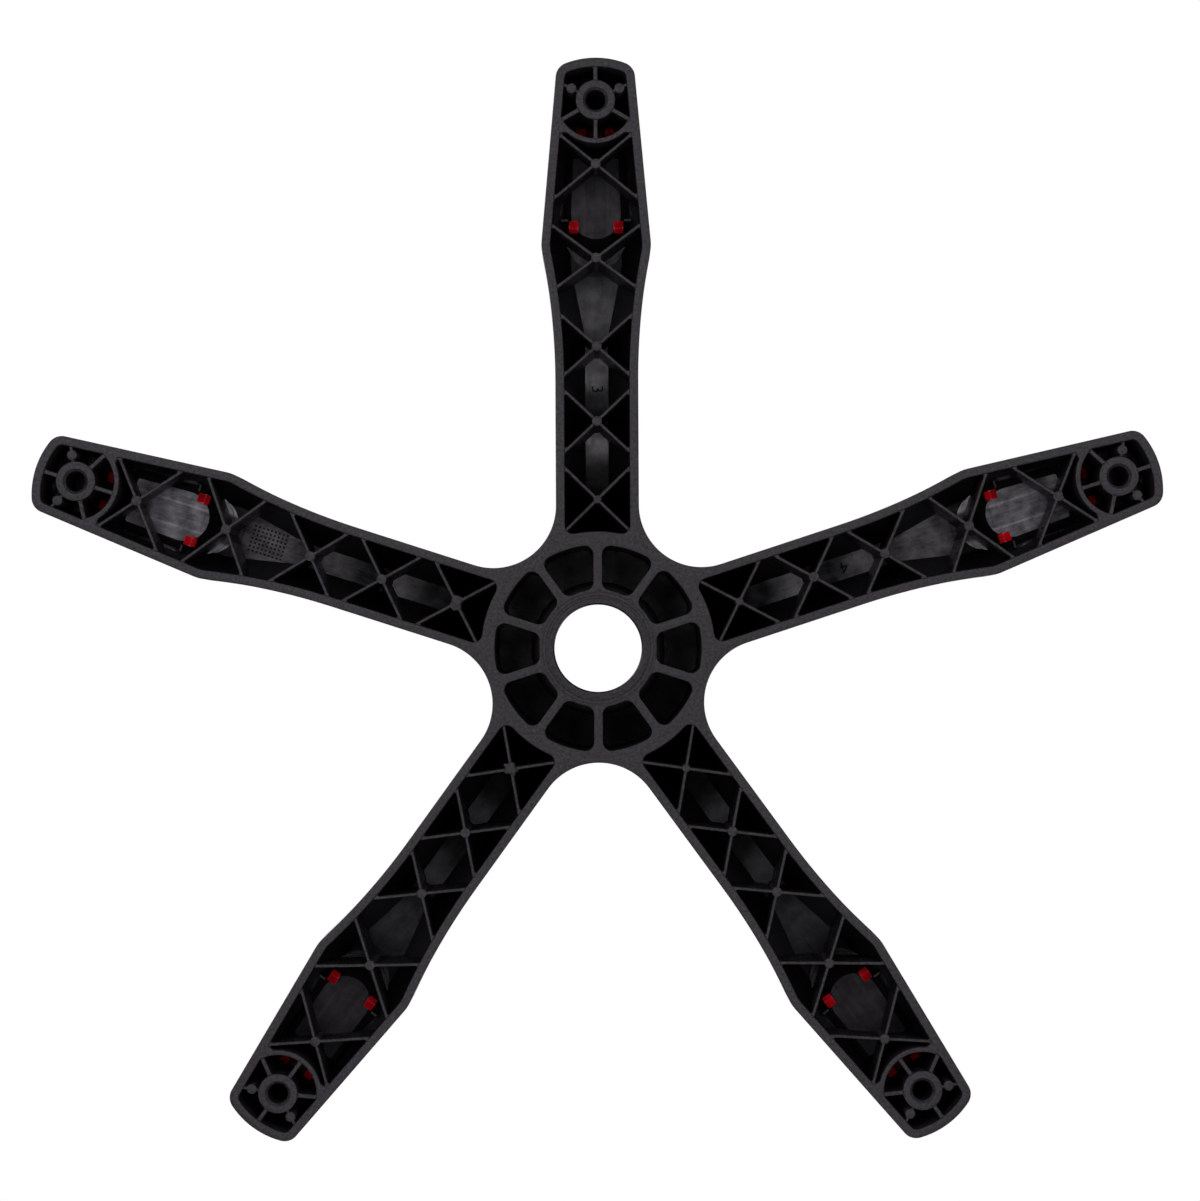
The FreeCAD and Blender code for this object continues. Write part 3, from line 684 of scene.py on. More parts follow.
columns = columns + (np.arange(columns.shape[0]) % 2)[:, None] * grid_step / 2
grid = np.stack([columns.ravel(), rows.ravel()], 1)
grid = grid[inside(sector_loop, grid)]
grid = grid[distance_to(top_paths, grid) > 1.3]
points, triangles = meshed(top_paths, grid)
middles = points[triangles].mean(1)
radius_of = np.hypot(middles[:, 0], middles[:, 1])
region = np.full(len(triangles), TOP_OUTSIDE)
region[inside(sector_loop, middles)] = TOP
region[inside(cap_seat, middles)] = SEAT
region[inside(cap_pocket, middles)] = CAP_POCKET
for hole in slots:
    region[inside(hole, middles)] = TOP_THROUGH
for cell in near_window:
    region[inside(window, middles) & inside(cell, middles)] = TOP_THROUGH
region[radius_of < COLLAR_RADIUS - 0.02] = COLLAR
region[radius_of < BORE_MOUTH - 0.02] = TOP_BORE
r = np.hypot(points[:, 0], points[:, 1])
y = points[:, 1]
top_z = top_height(points) - 0.8 * rounding(distance_to([outline], points), TOP_ROUND)
seat_gap = distance_to([closed(cap_seat)], points)
heights = {
    TOP_OUTSIDE: top_z,
    TOP: top_z - np.where(seat_gap < 0.49, rounding(seat_gap, 0.5), 0),
    SEAT: foot_height(y) - CAP_EDGE,
    CAP_POCKET: foot_height(y) - POCKET_DEPTH,
    TOP_THROUGH: foot_height(y) - CAP_EDGE,
    COLLAR: COLLAR_TOP - rounding(COLLAR_RADIUS - r, COLLAR_ROUND),
    TOP_BORE: np.full(len(points), COLLAR_TOP),
}
upper_side = surface(points, triangles, region, heights, {TOP_OUTSIDE, TOP_THROUGH, TOP_BORE}, {TOP, COLLAR})
taper = [(BORE_RADIUS, bore_step), (25.49, COLLAR_TOP - 0.8), (BORE_MOUTH, COLLAR_TOP)]
taper_vertices = [(*p, z) for radius, z in taper for p in bend((0, 0), radius, -SECTOR, SECTOR, 20)]
taper_faces = [
    (row * 21 + i, row * 21 + i + 1, row * 21 + 22 + i,
     row * 21 + 21 + i) for row in range(2) for i in range(20)
]


def smoothed(shape, sharpest):
    """Shade a mesh smooth, apart from edges sharper than an angle in degrees."""
    for polygon in shape.polygons:
        polygon.use_smooth = True
    shape.set_sharp_from_angle(angle=math.radians(sharpest))


def in_scene(name, data):
    """A new object that stands in the scene."""
    piece = bpy.data.objects.new(name, data)
    bpy.context.scene.collection.objects.link(piece)
    return piece


moulding_mesh = bpy.data.meshes.new("base_moulding_shape")
build = bmesh.new()
for sector in range(ARM_COUNT):
    turn = math.radians(ARM_TURN * sector)
    for vertices, faces, finishes in (underside, upper_side, (taper_vertices, taper_faces, [0] * 40)):
        placed = [
            build.verts.new((
                (vx * math.cos(turn) - vy * math.sin(turn)) * MM,
                (vx * math.sin(turn) + vy * math.cos(turn)) * MM,
                vz * MM,
            ))
            for vx, vy, vz in vertices
        ]
        for face, finish in zip(faces, finishes):
            build.faces.new([placed[i] for i in face]).material_index = finish
bmesh.ops.remove_doubles(build, verts=build.verts, dist=0.00003)
for again in range(2):
    lone = [edge for edge in build.edges if len(edge.link_faces) == 1]
    ends = list({vertex for edge in lone for vertex in edge.verts})
    spots = np.array([vertex.co for vertex in ends])
    for edge in lone:
        base = edge.verts[0]
        start, run = np.array(base.co), np.array(edge.verts[1].co) - np.array(base.co)
        part = (spots - start) @ run / (run @ run)
        off = np.linalg.norm(spots - start - part[:, None] * run, axis=1)
        done = 0.0
        within = np.flatnonzero((off < 0.00003) & (part > 0.001) & (part < 0.999))
        for i in sorted(within, key=lambda i: part[i]):
            if part[i] - done < 0.001:
                continue
            base = bmesh.utils.edge_split(edge, base, (part[i] - done) / (1 - done))[1]
            base.co = ends[i].co
            done = part[i]
    bmesh.ops.remove_doubles(build, verts=build.verts, dist=0.00003)
slits = [edge for edge in build.edges if len(edge.link_faces) == 1]
bmesh.ops.holes_fill(build, edges=slits, sides=6)
bmesh.ops.recalc_face_normals(build, faces=build.faces)
build.to_mesh(moulding_mesh)
build.free()
smoothed(moulding_mesh, 32)
moulding = in_scene("moulded_base", moulding_mesh)

# Finish of the base moulding
# Glass-filled nylon, injection moulded with a fine spark texture: near black, half matt, with a faint
# cloudiness where the glass fibres reach the surface and pale scuffs on what has been touched.


def linear(hex_colour):
    """An sRGB hex colour as linear values."""
    values = [int(hex_colour[i:i + 2], 16) / 255 for i in (1, 3, 5)]
    return [v / 12.92 if v <= 0.04045 else ((v + 0.055) / 1.055) ** 2.4 for v in values] + [1.0]


def add(tree, kind, links=(), **settings):
    """Add a node, with its settings, values of its inputs by name or number, and links into it."""
    node = tree.nodes.new(kind)
    for name, value in settings.get("values", {}).items():
        node.inputs[name].default_value = value
    for name, value in settings.items():
        if name != "values":
            setattr(node, name, value)
    for name, source in dict(links).items():
        tree.links.new(source, node.inputs[name])
    return node


def new_material(name):
    """A material with its node tree emptied, and its output node."""
    material = bpy.data.materials.new(name)
    material.use_nodes = True
    material.node_tree.nodes.clear()
    return material, material.node_tree, material.node_tree.nodes.new("ShaderNodeOutputMaterial")


def textured_nylon():
    """The outside's finish: pits of the spark texture, clouds of glass fibre, turned rings on the tube, and
    painted shade that darkens the colour towards the hub.
    """
    material, tree, output = new_material("nylon_textured")
    place = add(tree, "ShaderNodeTexCoord").outputs["Object"]
    # Real pits are about 0.1 mm, drawn at up to 1.6 mm so that they show.
    pits = add(tree, "ShaderNodeTexNoise", {"Vector": place},
               values={"Scale": 620.0, "Detail": 4.0, "Roughness": 0.72})
    clouds = add(tree, "ShaderNodeTexNoise", {"Vector": place},
                 values={"Scale": 70.0, "Detail": 5.0, "Roughness": 0.65})
    tone = add(tree, "ShaderNodeMapRange", {"Value": pits.outputs["Fac"]},
               values={"From Min": 0.3, "From Max": 0.72})
    grain = add(tree, "ShaderNodeMix", {"Factor": tone.outputs["Result"]}, data_type="RGBA",
                values={6: linear("#060507"), 7: linear("#201e21")})
    cloudy = add(tree, "ShaderNodeMapRange", {"Value": clouds.outputs["Fac"]},
                 values={"From Min": 0.35, "From Max": 0.7, "To Min": 0.0, "To Max": 0.45})
    colour = add(tree, "ShaderNodeMix", {"Factor": cloudy.outputs["Result"], 6: grain.outputs[2]},
                 data_type="RGBA",
                 values={7: linear("#262428")})
    # Turned rings on the end of the column's tube, which is darker: a noise that changes only with the radius.
    flat = add(tree, "ShaderNodeVectorMath", {0: place}, operation="MULTIPLY", values={1: (1, 1, 0)})
    radius = add(tree, "ShaderNodeVectorMath", {0: flat.outputs[0]}, operation="LENGTH").outputs["Value"]
    rings = add(tree, "ShaderNodeTexNoise", {"W": radius}, noise_dimensions="1D",
                values={"Scale": 900.0, "Detail": 2.0})
    on_tube = add(tree, "ShaderNodeMath", {0: radius}, operation="LESS_THAN", values={1: 0.0316})
    ringed = add(tree, "ShaderNodeMath", {0: rings.outputs["Fac"], 1: on_tube.outputs[0]},
                 operation="MULTIPLY")
    height = add(tree, "ShaderNodeMath", {0: ringed.outputs[0], 2: pits.outputs["Fac"]},
                 operation="MULTIPLY_ADD",
                 values={1: 1.6})
    gloss = add(tree, "ShaderNodeMapRange", {"Value": clouds.outputs["Fac"]},
                values={"From Min": 0.3, "From Max": 0.7, "To Min": 0.52, "To Max": 0.64})
    relief = add(tree, "ShaderNodeBump", {"Height": height.outputs[0]},
                 values={"Strength": 0.55, "Distance": 0.0003})
    band = add(tree, "ShaderNodeMapRange", {"Value": rings.outputs["Fac"]},
               values={"From Min": 0.35, "From Max": 0.65, "To Min": 0.35, "To Max": 1.0})
    turned = add(tree, "ShaderNodeMath", {0: band.outputs["Result"], 1: on_tube.outputs[0]},
                 operation="MULTIPLY")
    # Painted shade: the colour darkens towards the hub, most within 55 mm of the axis; the tube's turned rings
    # are mixed in with it.
    hub = add(tree, "ShaderNodeMapRange", {"Value": radius},
              values={"From Min": 0.055, "From Max": 0.13, "To Min": 0.28, "To Max": 0.0})
    rings_and_hub_shade = add(tree, "ShaderNodeMath", {0: turned.outputs[0], 1: hub.outputs["Result"]}, operation="MAXIMUM")
    shade = add(tree, "ShaderNodeMix", {"Factor": rings_and_hub_shade.outputs[0], 6: colour.outputs[2]}, data_type="RGBA",
                values={7: linear("#060507")})
    skin = add(tree, "ShaderNodeBsdfPrincipled", {
        "Base Color": shade.outputs[2], "Roughness": gloss.outputs["Result"],
        "Normal": relief.outputs["Normal"],
    }, values={"IOR": 1.5})
    sparkle = add(tree, "ShaderNodeMapRange", {"Value": pits.outputs["Fac"]},
                  values={"From Min": 0.36, "From Max": 0.66, "To Min": 0.27, "To Max": 0.52})
    tree.links.new(sparkle.outputs["Result"], skin.inputs["Specular IOR Level"])
    tree.links.new(skin.outputs["BSDF"], output.inputs["Surface"])
    return material


def core_nylon():
    """The inside's finish: smooth, with scuffs that run along each arm; its shine is painted light, with
    painted shade on steep walls and painted highlights and shade by arm and place.
    """
    material, tree, output = new_material("nylon_core_side")
    place = add(tree, "ShaderNodeTexCoord").outputs["Object"]
    parts = add(tree, "ShaderNodeSeparateXYZ", {"Vector": place})
    facing = add(tree, "ShaderNodeSeparateXYZ",
                 {"Vector": add(tree, "ShaderNodeNewGeometry").outputs["True Normal"]})
    angle = add(tree, "ShaderNodeMath", {0: parts.outputs["X"], 1: parts.outputs["Y"]}, operation="ARCTAN2")
    fifths = add(tree, "ShaderNodeMath", {0: angle.outputs[0]}, operation="MULTIPLY",
                 values={1: ARM_COUNT / (2 * math.pi)})
    arm = add(tree, "ShaderNodeMath", {0: fifths.outputs[0]}, operation="ROUND")
    back = add(tree, "ShaderNodeMath", {0: arm.outputs[0]}, operation="MULTIPLY",
               values={1: 2 * math.pi / ARM_COUNT})
    along = add(tree, "ShaderNodeVectorRotate", {"Vector": place, "Angle": back.outputs[0]},
                rotation_type="Z_AXIS")
    stretched = add(tree, "ShaderNodeMapping", {"Vector": along.outputs["Vector"]},
                    values={"Scale": (520.0, 70.0, 70.0)})
    scuffs = add(tree, "ShaderNodeTexNoise", {"Vector": stretched.outputs["Vector"]},
                 values={"Scale": 1.0, "Detail": 4.0, "Roughness": 0.7})
    smears = add(tree, "ShaderNodeTexNoise", {"Vector": place},
                 values={"Scale": 130.0, "Detail": 3.0, "Roughness": 0.6})
    on_arm = add(tree, "ShaderNodeSeparateXYZ", {"Vector": along.outputs["Vector"]})
    from_arc = add(tree, "ShaderNodeVectorMath", {0: along.outputs["Vector"]}, operation="SUBTRACT",
                   values={1: (0, 0.2268, 0)})
    level_arc = add(tree, "ShaderNodeVectorMath", {0: from_arc.outputs[0]}, operation="MULTIPLY",
                    values={1: (1, 1, 0)})
    arc = add(tree, "ShaderNodeVectorMath", {0: level_arc.outputs[0]}, operation="LENGTH").outputs["Value"]
    at = {
        "arm": arm.outputs[0], "beside": on_arm.outputs["X"], "out": on_arm.outputs["Y"], "arc": arc,
        "height": parts.outputs["Z"], "normal_z": facing.outputs["Z"],
        "scuffs": scuffs.outputs["Fac"], "smears": smears.outputs["Fac"],
    }
    kinds = {"RANGE": "ShaderNodeMapRange", "MIX": "ShaderNodeMix"}
    inputs = {"RANGE": ("Value", "From Min", "From Max", "To Min", "To Max"), "MIX": ("Factor", "A", "B")}
    # Each row is one node: its name, its work, and what goes in, as other rows' names or numbers.
    # Lengths are in metres, "out" counts along the arm and "across" from its middle line.
    for name, work, *given in (
        # The arms to each side, 72 degrees from the first, are the most scuffed and carry painted highlights.
        ("side_arm", "ABSOLUTE", "arm"),
        ("worn_lit_arm", "COMPARE", "side_arm", 1.0, 0.1),
        ("dim_arm", "COMPARE", "side_arm", 2.0, 0.1),
        ("first_arm", "COMPARE", "side_arm", 0.0, 0.1),
        ("reach", "RANGE", "worn_lit_arm", 0.0, 1.0, 0.12, 1.0),
        ("cloud", "ADD", "scuffs", "smears"),
        ("pale", "RANGE", "cloud", 0.86, 1.3, 0.0, 1.0),
        # A pale rub line along each edge of the band on the pocket's floor, 6 mm from the arm's middle.
        ("across", "ABSOLUTE", "beside"),
        ("on_line", "COMPARE", "across", 0.0064, 0.0007),
        ("outer", "GREATER_THAN", "out", 0.222),
        ("rubbed", "MULTIPLY", "on_line", "outer"),
        ("rub", "MULTIPLY", "rubbed", "smears"),
        ("paler", "ADD", "pale", "rub"),
        ("streaks", "MINIMUM", "paler", 1.0),
        # Scuffs lie on level faces, and hardly any deep in the hub.
        ("level", "ABSOLUTE", "normal_z"),
        ("deep", "RANGE", "height", 0.0605, 0.067, 1.0, 0.12),
        ("flat", "RANGE", "level", 0.7, 0.95, 0.0, 1.0),
        ("touched", "MULTIPLY", "flat", "deep"),
        ("spread", "MULTIPLY", "touched", "reach"),
        ("mark", "MULTIPLY", "streaks", "spread"),
        # The shine of level faces, in patches and streaks; steep walls and the deep hub are held dark as
        # painted shade, the side arms get a painted highlight and arms 2 and 3 painted shade.
        ("sheen", "RANGE", "level", 0.5, 0.9, 0.06, 0.5),
        ("patchy", "RANGE", "smears", 0.3, 0.7, 0.65, 1.3),
        ("dulled", "MULTIPLY", "sheen", "deep"),
        ("arm_highlight", "SUBTRACT", "worn_lit_arm", "dim_arm"),
        ("arm_highlight_gain", "MULTIPLY_ADD", "arm_highlight", 0.4, 0.68),
        ("varied", "MULTIPLY", "patchy", "arm_highlight_gain"),
        ("streaky", "RANGE", "mark", 0.0, 1.0, 0.95, 1.15),
        ("bright", "MULTIPLY", "varied", "streaky"),
        # Painted shade where the roof bends down to the foot before the pocket's ledge, and a painted
        # highlight on the ledge's sides, strongest on the side arms.
        ("off_ledge", "GREATER_THAN", "arc", 0.0164),
        ("knee", "COMPARE", "out", 0.219, 0.0125),
        ("bent", "MULTIPLY", "off_ledge", "knee"),
        ("inner_half", "LESS_THAN", "out", 0.2232),
        ("on_ledge", "GREATER_THAN", "inner_half", "off_ledge"),
        ("lit_ledge", "RANGE", "worn_lit_arm", 0.0, 1.0, 1.3, 6.5),
        ("ledge_side", "RANGE", "across", 0.0075, 0.0095, 0.1, 1.0),
        ("ledge_part", "MULTIPLY", "on_ledge", "ledge_side"),
        ("ledge_shine", "MULTIPLY", "ledge_part", "lit_ledge"),
        # A painted highlight on the roof grows towards the hub, where it lies deeper, most of all on the less
        # worn arms.
        ("inward", "RANGE", "out", 0.21, 0.10, 1.05, 2.5),
        ("lit_arm_inward", "RANGE", "out", 0.15, 0.10, 1.0, 1.7),
        ("inward_highlight", "MIX", "worn_lit_arm", "inward", "lit_arm_inward"),
        # The painted highlight nearest the hub starts past a strip of painted shade on the less worn arms.
        ("strip", "RANGE", "out", 0.132, 0.124, 1.0, 0.5),
        ("arm_strip", "MIX", "worn_lit_arm", "strip", 1.0),
        ("innermost", "RANGE", "out", 0.119, 0.106, 0.0, 2.8),
        ("inner_arm_light", "RANGE", "worn_lit_arm", 0.0, 1.0, 1.0, 0.55),
        ("inner_gain", "MULTIPLY_ADD", "innermost", "inner_arm_light", "arm_strip"),
        # A painted highlight along the middle of the first arm's roof.
        ("middle", "COMPARE", "out", 0.175, 0.042),
        ("first_middle", "MULTIPLY", "first_arm", "middle"),
        ("first_gain", "MULTIPLY_ADD", "first_middle", 0.5, 1.0),
        ("roof_gain", "MULTIPLY", "inner_gain", "first_gain"),
        ("roof_shine", "MULTIPLY", "inward_highlight", "roof_gain"),
        ("raised", "ADD", "ledge_shine", "roof_shine"),
        ("kept", "MULTIPLY_ADD", "bent", -0.88, "raised"),
        # Painted shade: round the caster's boss the roof shines as little as the walls.
        ("foot_end", "RANGE", "out", 0.279, 0.283, 1.0, 0.16),
        ("ended", "MULTIPLY", "kept", "foot_end"),
        # Painted shade on the pocket's floor on the less worn arms and in the band between the rub lines, and
        # a painted highlight along the rub lines on the side arms.
        ("on_floor", "GREATER_THAN", "out", 0.2238),
        ("in_band", "LESS_THAN", "across", 0.0058),
        ("band_loss", "MULTIPLY", "in_band", 0.16),
        ("floor_loss", "RANGE", "worn_lit_arm", 0.0, 1.0, 0.42, 0.0),
        ("losses", "ADD", "band_loss", "floor_loss"),
        ("rub_highlight", "MULTIPLY", "rub", "worn_lit_arm"),
        ("gains", "MULTIPLY_ADD", "rub_highlight", -0.9, "losses"),
        ("floor_shine", "MULTIPLY", "on_floor", "gains"),
        ("floor_part", "SUBTRACT", 1.0, "floor_shine"),
        # Painted shadow on the floor past the outer pair of ribs, but for a painted highlight in the corner on
        # the worn arms.
        ("past_rib", "MULTIPLY_ADD", "across", 0.906, "out"),
        ("beyond", "RANGE", "past_rib", 0.265, 0.268, 1.0, 0.3),
        ("far_out", "RANGE", "out", 0.262, 0.268, 0.0, 1.0),
        ("corner_light", "MULTIPLY", "far_out", "worn_lit_arm"),
        ("beyond_part", "MIX", "corner_light", "beyond", 1.2),
        ("floor_total", "MULTIPLY", "floor_part", "beyond_part"),
        ("settled_shine", "MULTIPLY", "ended", "floor_total"),
        ("level_shine", "MULTIPLY", "bright", "settled_shine"),
        ("shine", "MULTIPLY", "dulled", "level_shine"),
        ("gloss", "RANGE", "scuffs", 0.3, 0.7, 0.26, 0.44),
    ):
        slots = list(zip(inputs.get(work, (0, 1, 2)), given))
        links = {slot: at[source] for slot, source in slots if isinstance(source, str)}
        numbers = {slot: source for slot, source in slots if not isinstance(source, str)}
        settings = {} if work in kinds else {"operation": work}
        at[name] = add(tree, kinds.get(work, "ShaderNodeMath"), links, values=numbers, **settings).outputs[0]
    colour = add(tree, "ShaderNodeMix", {"Factor": at["mark"]}, data_type="RGBA",
                 values={6: linear("#19181a"), 7: linear("#4b484e")})
    relief = add(tree, "ShaderNodeBump", {"Height": at["scuffs"]},
                 values={"Strength": 0.12, "Distance": 0.0003})
    skin = add(tree, "ShaderNodeBsdfPrincipled", {
        "Base Color": colour.outputs[2], "Roughness": at["gloss"], "Normal": relief.outputs["Normal"],
        "Specular IOR Level": at["shine"],
    }, values={"IOR": 1.5})
    tree.links.new(skin.outputs["BSDF"], output.inputs["Surface"])
    return material


nylon, nylon_core = textured_nylon(), core_nylon()
moulding.data.materials.append(nylon)
moulding.data.materials.append(nylon_core)
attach(moulding, "root")
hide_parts("base_moulding")

# Bosses at the crossings and ejector posts
# Where two ribs cross, a round boss takes the ejector pin that pushed the moulding off its tool.
# Two slimmer posts with their own thin ribs stand beside each caster socket.
BOSS_TOP = 0.6
BOSS_HALF, HUB_BOSS_HALF = 2.7, 2.2
POST_CIRCLE, POST_TURN = 14.4, 64
LEDGE_START = 216.0
boss_places = [(0.0, y, BOSS_HALF if y > CROSSINGS[0][0] else HUB_BOSS_HALF) for y, angle in CROSSINGS]
for side in (-1, 1):
    boss_places.append((*(socket + polar(POST_CIRCLE, side * POST_TURN)), BOSS_HALF))
boss_x, boss_y = np.array(boss_places).T[:2]
under_ledge = foot_height(boss_y) - LEDGE_UNDER + 0.4
depths = arm_height(boss_x, boss_y, ROOF, 0.8) - 0.3
depths = np.where(boss_y > LEDGE_START, np.minimum(depths, under_ledge), depths)
seeds = bpy.data.meshes.new("boss_places")
seed_points, seed_radius, seed_depth = [], [], []
for k in range(ARM_COUNT):
    turn = math.radians(ARM_TURN * k)
    for (px, py, radius), depth in zip(boss_places, depths):
        seed_points.append(((px * math.cos(turn) - py * math.sin(turn)) * MM,
                            (px * math.sin(turn) + py * math.cos(turn)) * MM, BOSS_TOP * MM))
        seed_radius.append(radius * MM)
        seed_depth.append((depth - BOSS_TOP) * MM)
seeds.from_pydata(seed_points, [], [])
for name, values in (("radius", seed_radius), ("depth", seed_depth)):
    seeds.attributes.new(name, "FLOAT", "POINT").data.foreach_set("value", values)
bosses = in_scene("ejector_bosses", seeds)

group = bpy.data.node_groups.new("ejector_boss_rows", "GeometryNodeTree")
group.interface.new_socket("Geometry", in_out="INPUT", socket_type="NodeSocketGeometry")
finish = group.interface.new_socket("Finish", in_out="INPUT", socket_type="NodeSocketMaterial")
group.interface.new_socket("Geometry", in_out="OUTPUT", socket_type="NodeSocketGeometry")
entry = add(group, "NodeGroupInput")
leave = add(group, "NodeGroupOutput")
# A unit drum, one high, standing on its point; each instance is scaled to its radius and depth.
drum = add(group, "GeometryNodeMeshCylinder", values={"Vertices": 32, "Radius": 1.0, "Depth": 1.0})
lifted = add(group, "GeometryNodeTransform", {"Geometry": drum.outputs["Mesh"]},
             values={"Translation": (0, 0, 0.5)})
radius_in = add(group, "GeometryNodeInputNamedAttribute", data_type="FLOAT", values={"Name": "radius"})
depth_in = add(group, "GeometryNodeInputNamedAttribute", data_type="FLOAT", values={"Name": "depth"})
size = add(group, "ShaderNodeCombineXYZ",
           {0: radius_in.outputs[0], 1: radius_in.outputs[0], 2: depth_in.outputs[0]})
rows_of = add(group, "GeometryNodeInstanceOnPoints", {
    "Points": entry.outputs["Geometry"], "Instance": lifted.outputs["Geometry"], "Scale": size.outputs[0],
})
real = add(group, "GeometryNodeRealizeInstances", {"Geometry": rows_of.outputs["Instances"]})
painted = add(group, "GeometryNodeSetMaterial",
              {"Geometry": real.outputs["Geometry"], "Material": entry.outputs["Finish"]})
group.links.new(painted.outputs["Geometry"], leave.inputs[0])
modifier = bosses.modifiers.new("rows", "NODES")
modifier.node_group = group
modifier[finish.identifier] = nylon
rounded = bosses.modifiers.new("edges", "BEVEL")
rounded.width = 0.4 * MM
rounded.segments = 2
rounded.limit_method = "ANGLE"


def settled(piece):
    """Turn a piece's live modifiers into a plain mesh."""
    bpy.context.view_layer.update()
    shape = bpy.data.meshes.new_from_object(piece.evaluated_get(bpy.context.evaluated_depsgraph_get()))
    piece.modifiers.clear()
    piece.data = shape
    shape.name = piece.name + "_shape"
    return piece


settled(bosses)
smoothed(bosses.data, 32)
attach(bosses, "root")

# Small ribs, gates and marks
# Thin plates brace the ejector posts and stand beside the hooks' slots. Two arms keep the rough stub
# of a gate where the nylon was injected. The roofs carry a plain digit on two arms and a grid of pips.
# A plate's values are where it starts and ends, half its thickness and the height of its lower edge.
POST_RIB = (10.0, 19.6, 0.7, 1.2)
SLOT_RIB = (15.4, 19.4, 0.6, 24.4)
SLOT_RIB_Y = 235.8
GATE_ARMS = (3, 4)
GATE_TOP, GATE_LONG, GATE_WIDE, GATE_DEEP = 1.1, 3.6, 2.9, 0.9
DIGIT_PLACE, DIGIT_SIZE, DIGIT_RAISED = 144.6, 9.2, 0.2
PIP_ARM, PIP_PLACE, PIP_PITCH = 4, 192.5, 2.3
PIPS_LONG, PIPS_WIDE, PIP_SIDE, PIP_HEIGHT = 9, 7, 1.1, 0.5
build = bmesh.new()
random.seed(11)


def plate(start, end, half, low, arm):
    """A thin upright plate between two plan points, from a height up into the roof."""
    plan = strap(half, np.array(start), np.array(end))
    roof = arm_height(np.array([end[0]]), np.array([end[1]]), ROOF, 0.2)[0] + 0.4
    spin = Matrix.Rotation(math.radians(ARM_TURN * arm), 3, "Z")
    rows = [
        [build.verts.new(spin @ Vector((px * MM, py * MM, pz * MM))) for px, py in plan] for pz in (low, roof)
    ]
    sides = [build.faces.new(rows[0]), build.faces.new(rows[1][::-1])]
    for i in range(4):
        j = (i + 1) % 4
        sides.append(build.faces.new((rows[0][j], rows[0][i], rows[1][i], rows[1][j])))
    edges = {edge for side_face in sides for edge in side_face.edges}
    bmesh.ops.bevel(build, geom=list(edges), offset=0.25 * MM, segments=2, affect="EDGES")


for k in range(ARM_COUNT):
    for side in (-1, 1):
        way = polar(1.0, side * POST_TURN)
        start, end, half, low = POST_RIB
        plate(socket + way * start, socket + way * end, half, low, k)
        start, end, half, low = SLOT_RIB
        plate((side * start, SLOT_RIB_Y), (side * end, SLOT_RIB_Y), half, low, k)
for k in GATE_ARMS:
    spin = Matrix.Rotation(math.radians(ARM_TURN * k), 4, "Z")
    spot = spin @ Matrix.Translation((0, CROSSINGS[0][0] * MM, GATE_TOP * MM))
    stub = bmesh.ops.create_icosphere(build, subdivisions=3, radius=1.0)["verts"]
    for vertex in stub:
        wave = 0.3 * math.sin(5 * vertex.co.x + 2 * k) * math.cos(4 * vertex.co.y)
        swell = 1.1 + wave + random.uniform(-0.1, 0.1)
        height = max(vertex.co.z * GATE_DEEP * swell, -GATE_DEEP)
        vertex.co = spot @ Vector((
            vertex.co.x * GATE_LONG * MM * swell, vertex.co.y * GATE_WIDE * MM * swell, height * MM,
        ))
bmesh.ops.recalc_face_normals(build, faces=build.faces)
shape = bpy.data.meshes.new("small_ribs_shape")
build.to_mesh(shape)
build.free()
smoothed(shape, 40)
shape.materials.append(nylon)
small_ribs = in_scene("small_ribs", shape)
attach(small_ribs, "root")


def on_roof(y, arm):
    """A frame on the inside of an arm's roof: x along the arm, z out of the surface, downwards."""
    low, middle, high = arm_height(np.zeros(3), np.array([y - 1, y, y + 1]), ROOF, 0.2)
    along = Vector((0, 2, high - low)).normalized()
    up = Vector((1, 0, 0))
    out = along.cross(up)
    axes = Matrix((along, up, out)).transposed().to_4x4()
    spin = Matrix.Rotation(math.radians(ARM_TURN * arm), 4, "Z")
    return spin @ Matrix.Translation((0, y * MM, middle * MM)) @ axes


dull_nylon, tree, output = new_material("nylon_dull_marks")
place = add(tree, "ShaderNodeTexCoord").outputs["Object"]
dusty = add(tree, "ShaderNodeTexNoise", {"Vector": place}, values={"Scale": 900.0, "Detail": 2.0})
dust = add(tree, "ShaderNodeMapRange", {"Value": dusty.outputs["Fac"]}, values={"To Min": 0.6, "To Max": 0.9})
skin = add(tree, "ShaderNodeBsdfPrincipled", {"Roughness": dust.outputs["Result"]},
           values={"Base Color": linear("#0b0a0c"), "Specular IOR Level": 0.08})
tree.links.new(skin.outputs["BSDF"], output.inputs["Surface"])

for arm, digit in ((0, "3"), (1, "4")):
    text = bpy.data.curves.new("digit_curve", "FONT")
    text.body = digit
    text.size = DIGIT_SIZE * MM
    text.extrude = DIGIT_RAISED * MM
    text.align_x = "CENTER"
    text.align_y = "CENTER"
    drawn = in_scene("digit_drawn", text)
    bpy.context.view_layer.update()
    shape = bpy.data.meshes.new_from_object(drawn.evaluated_get(bpy.context.evaluated_depsgraph_get()))
    bpy.data.objects.remove(drawn)
    shape.transform(Matrix.Rotation(math.pi, 4, "Z"))
    shape.transform(on_roof(DIGIT_PLACE, arm))
    shape.materials.clear()
    shape.materials.append(dull_nylon)
    mark = in_scene("cavity_digit_" + digit, shape)
    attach(mark, "root")

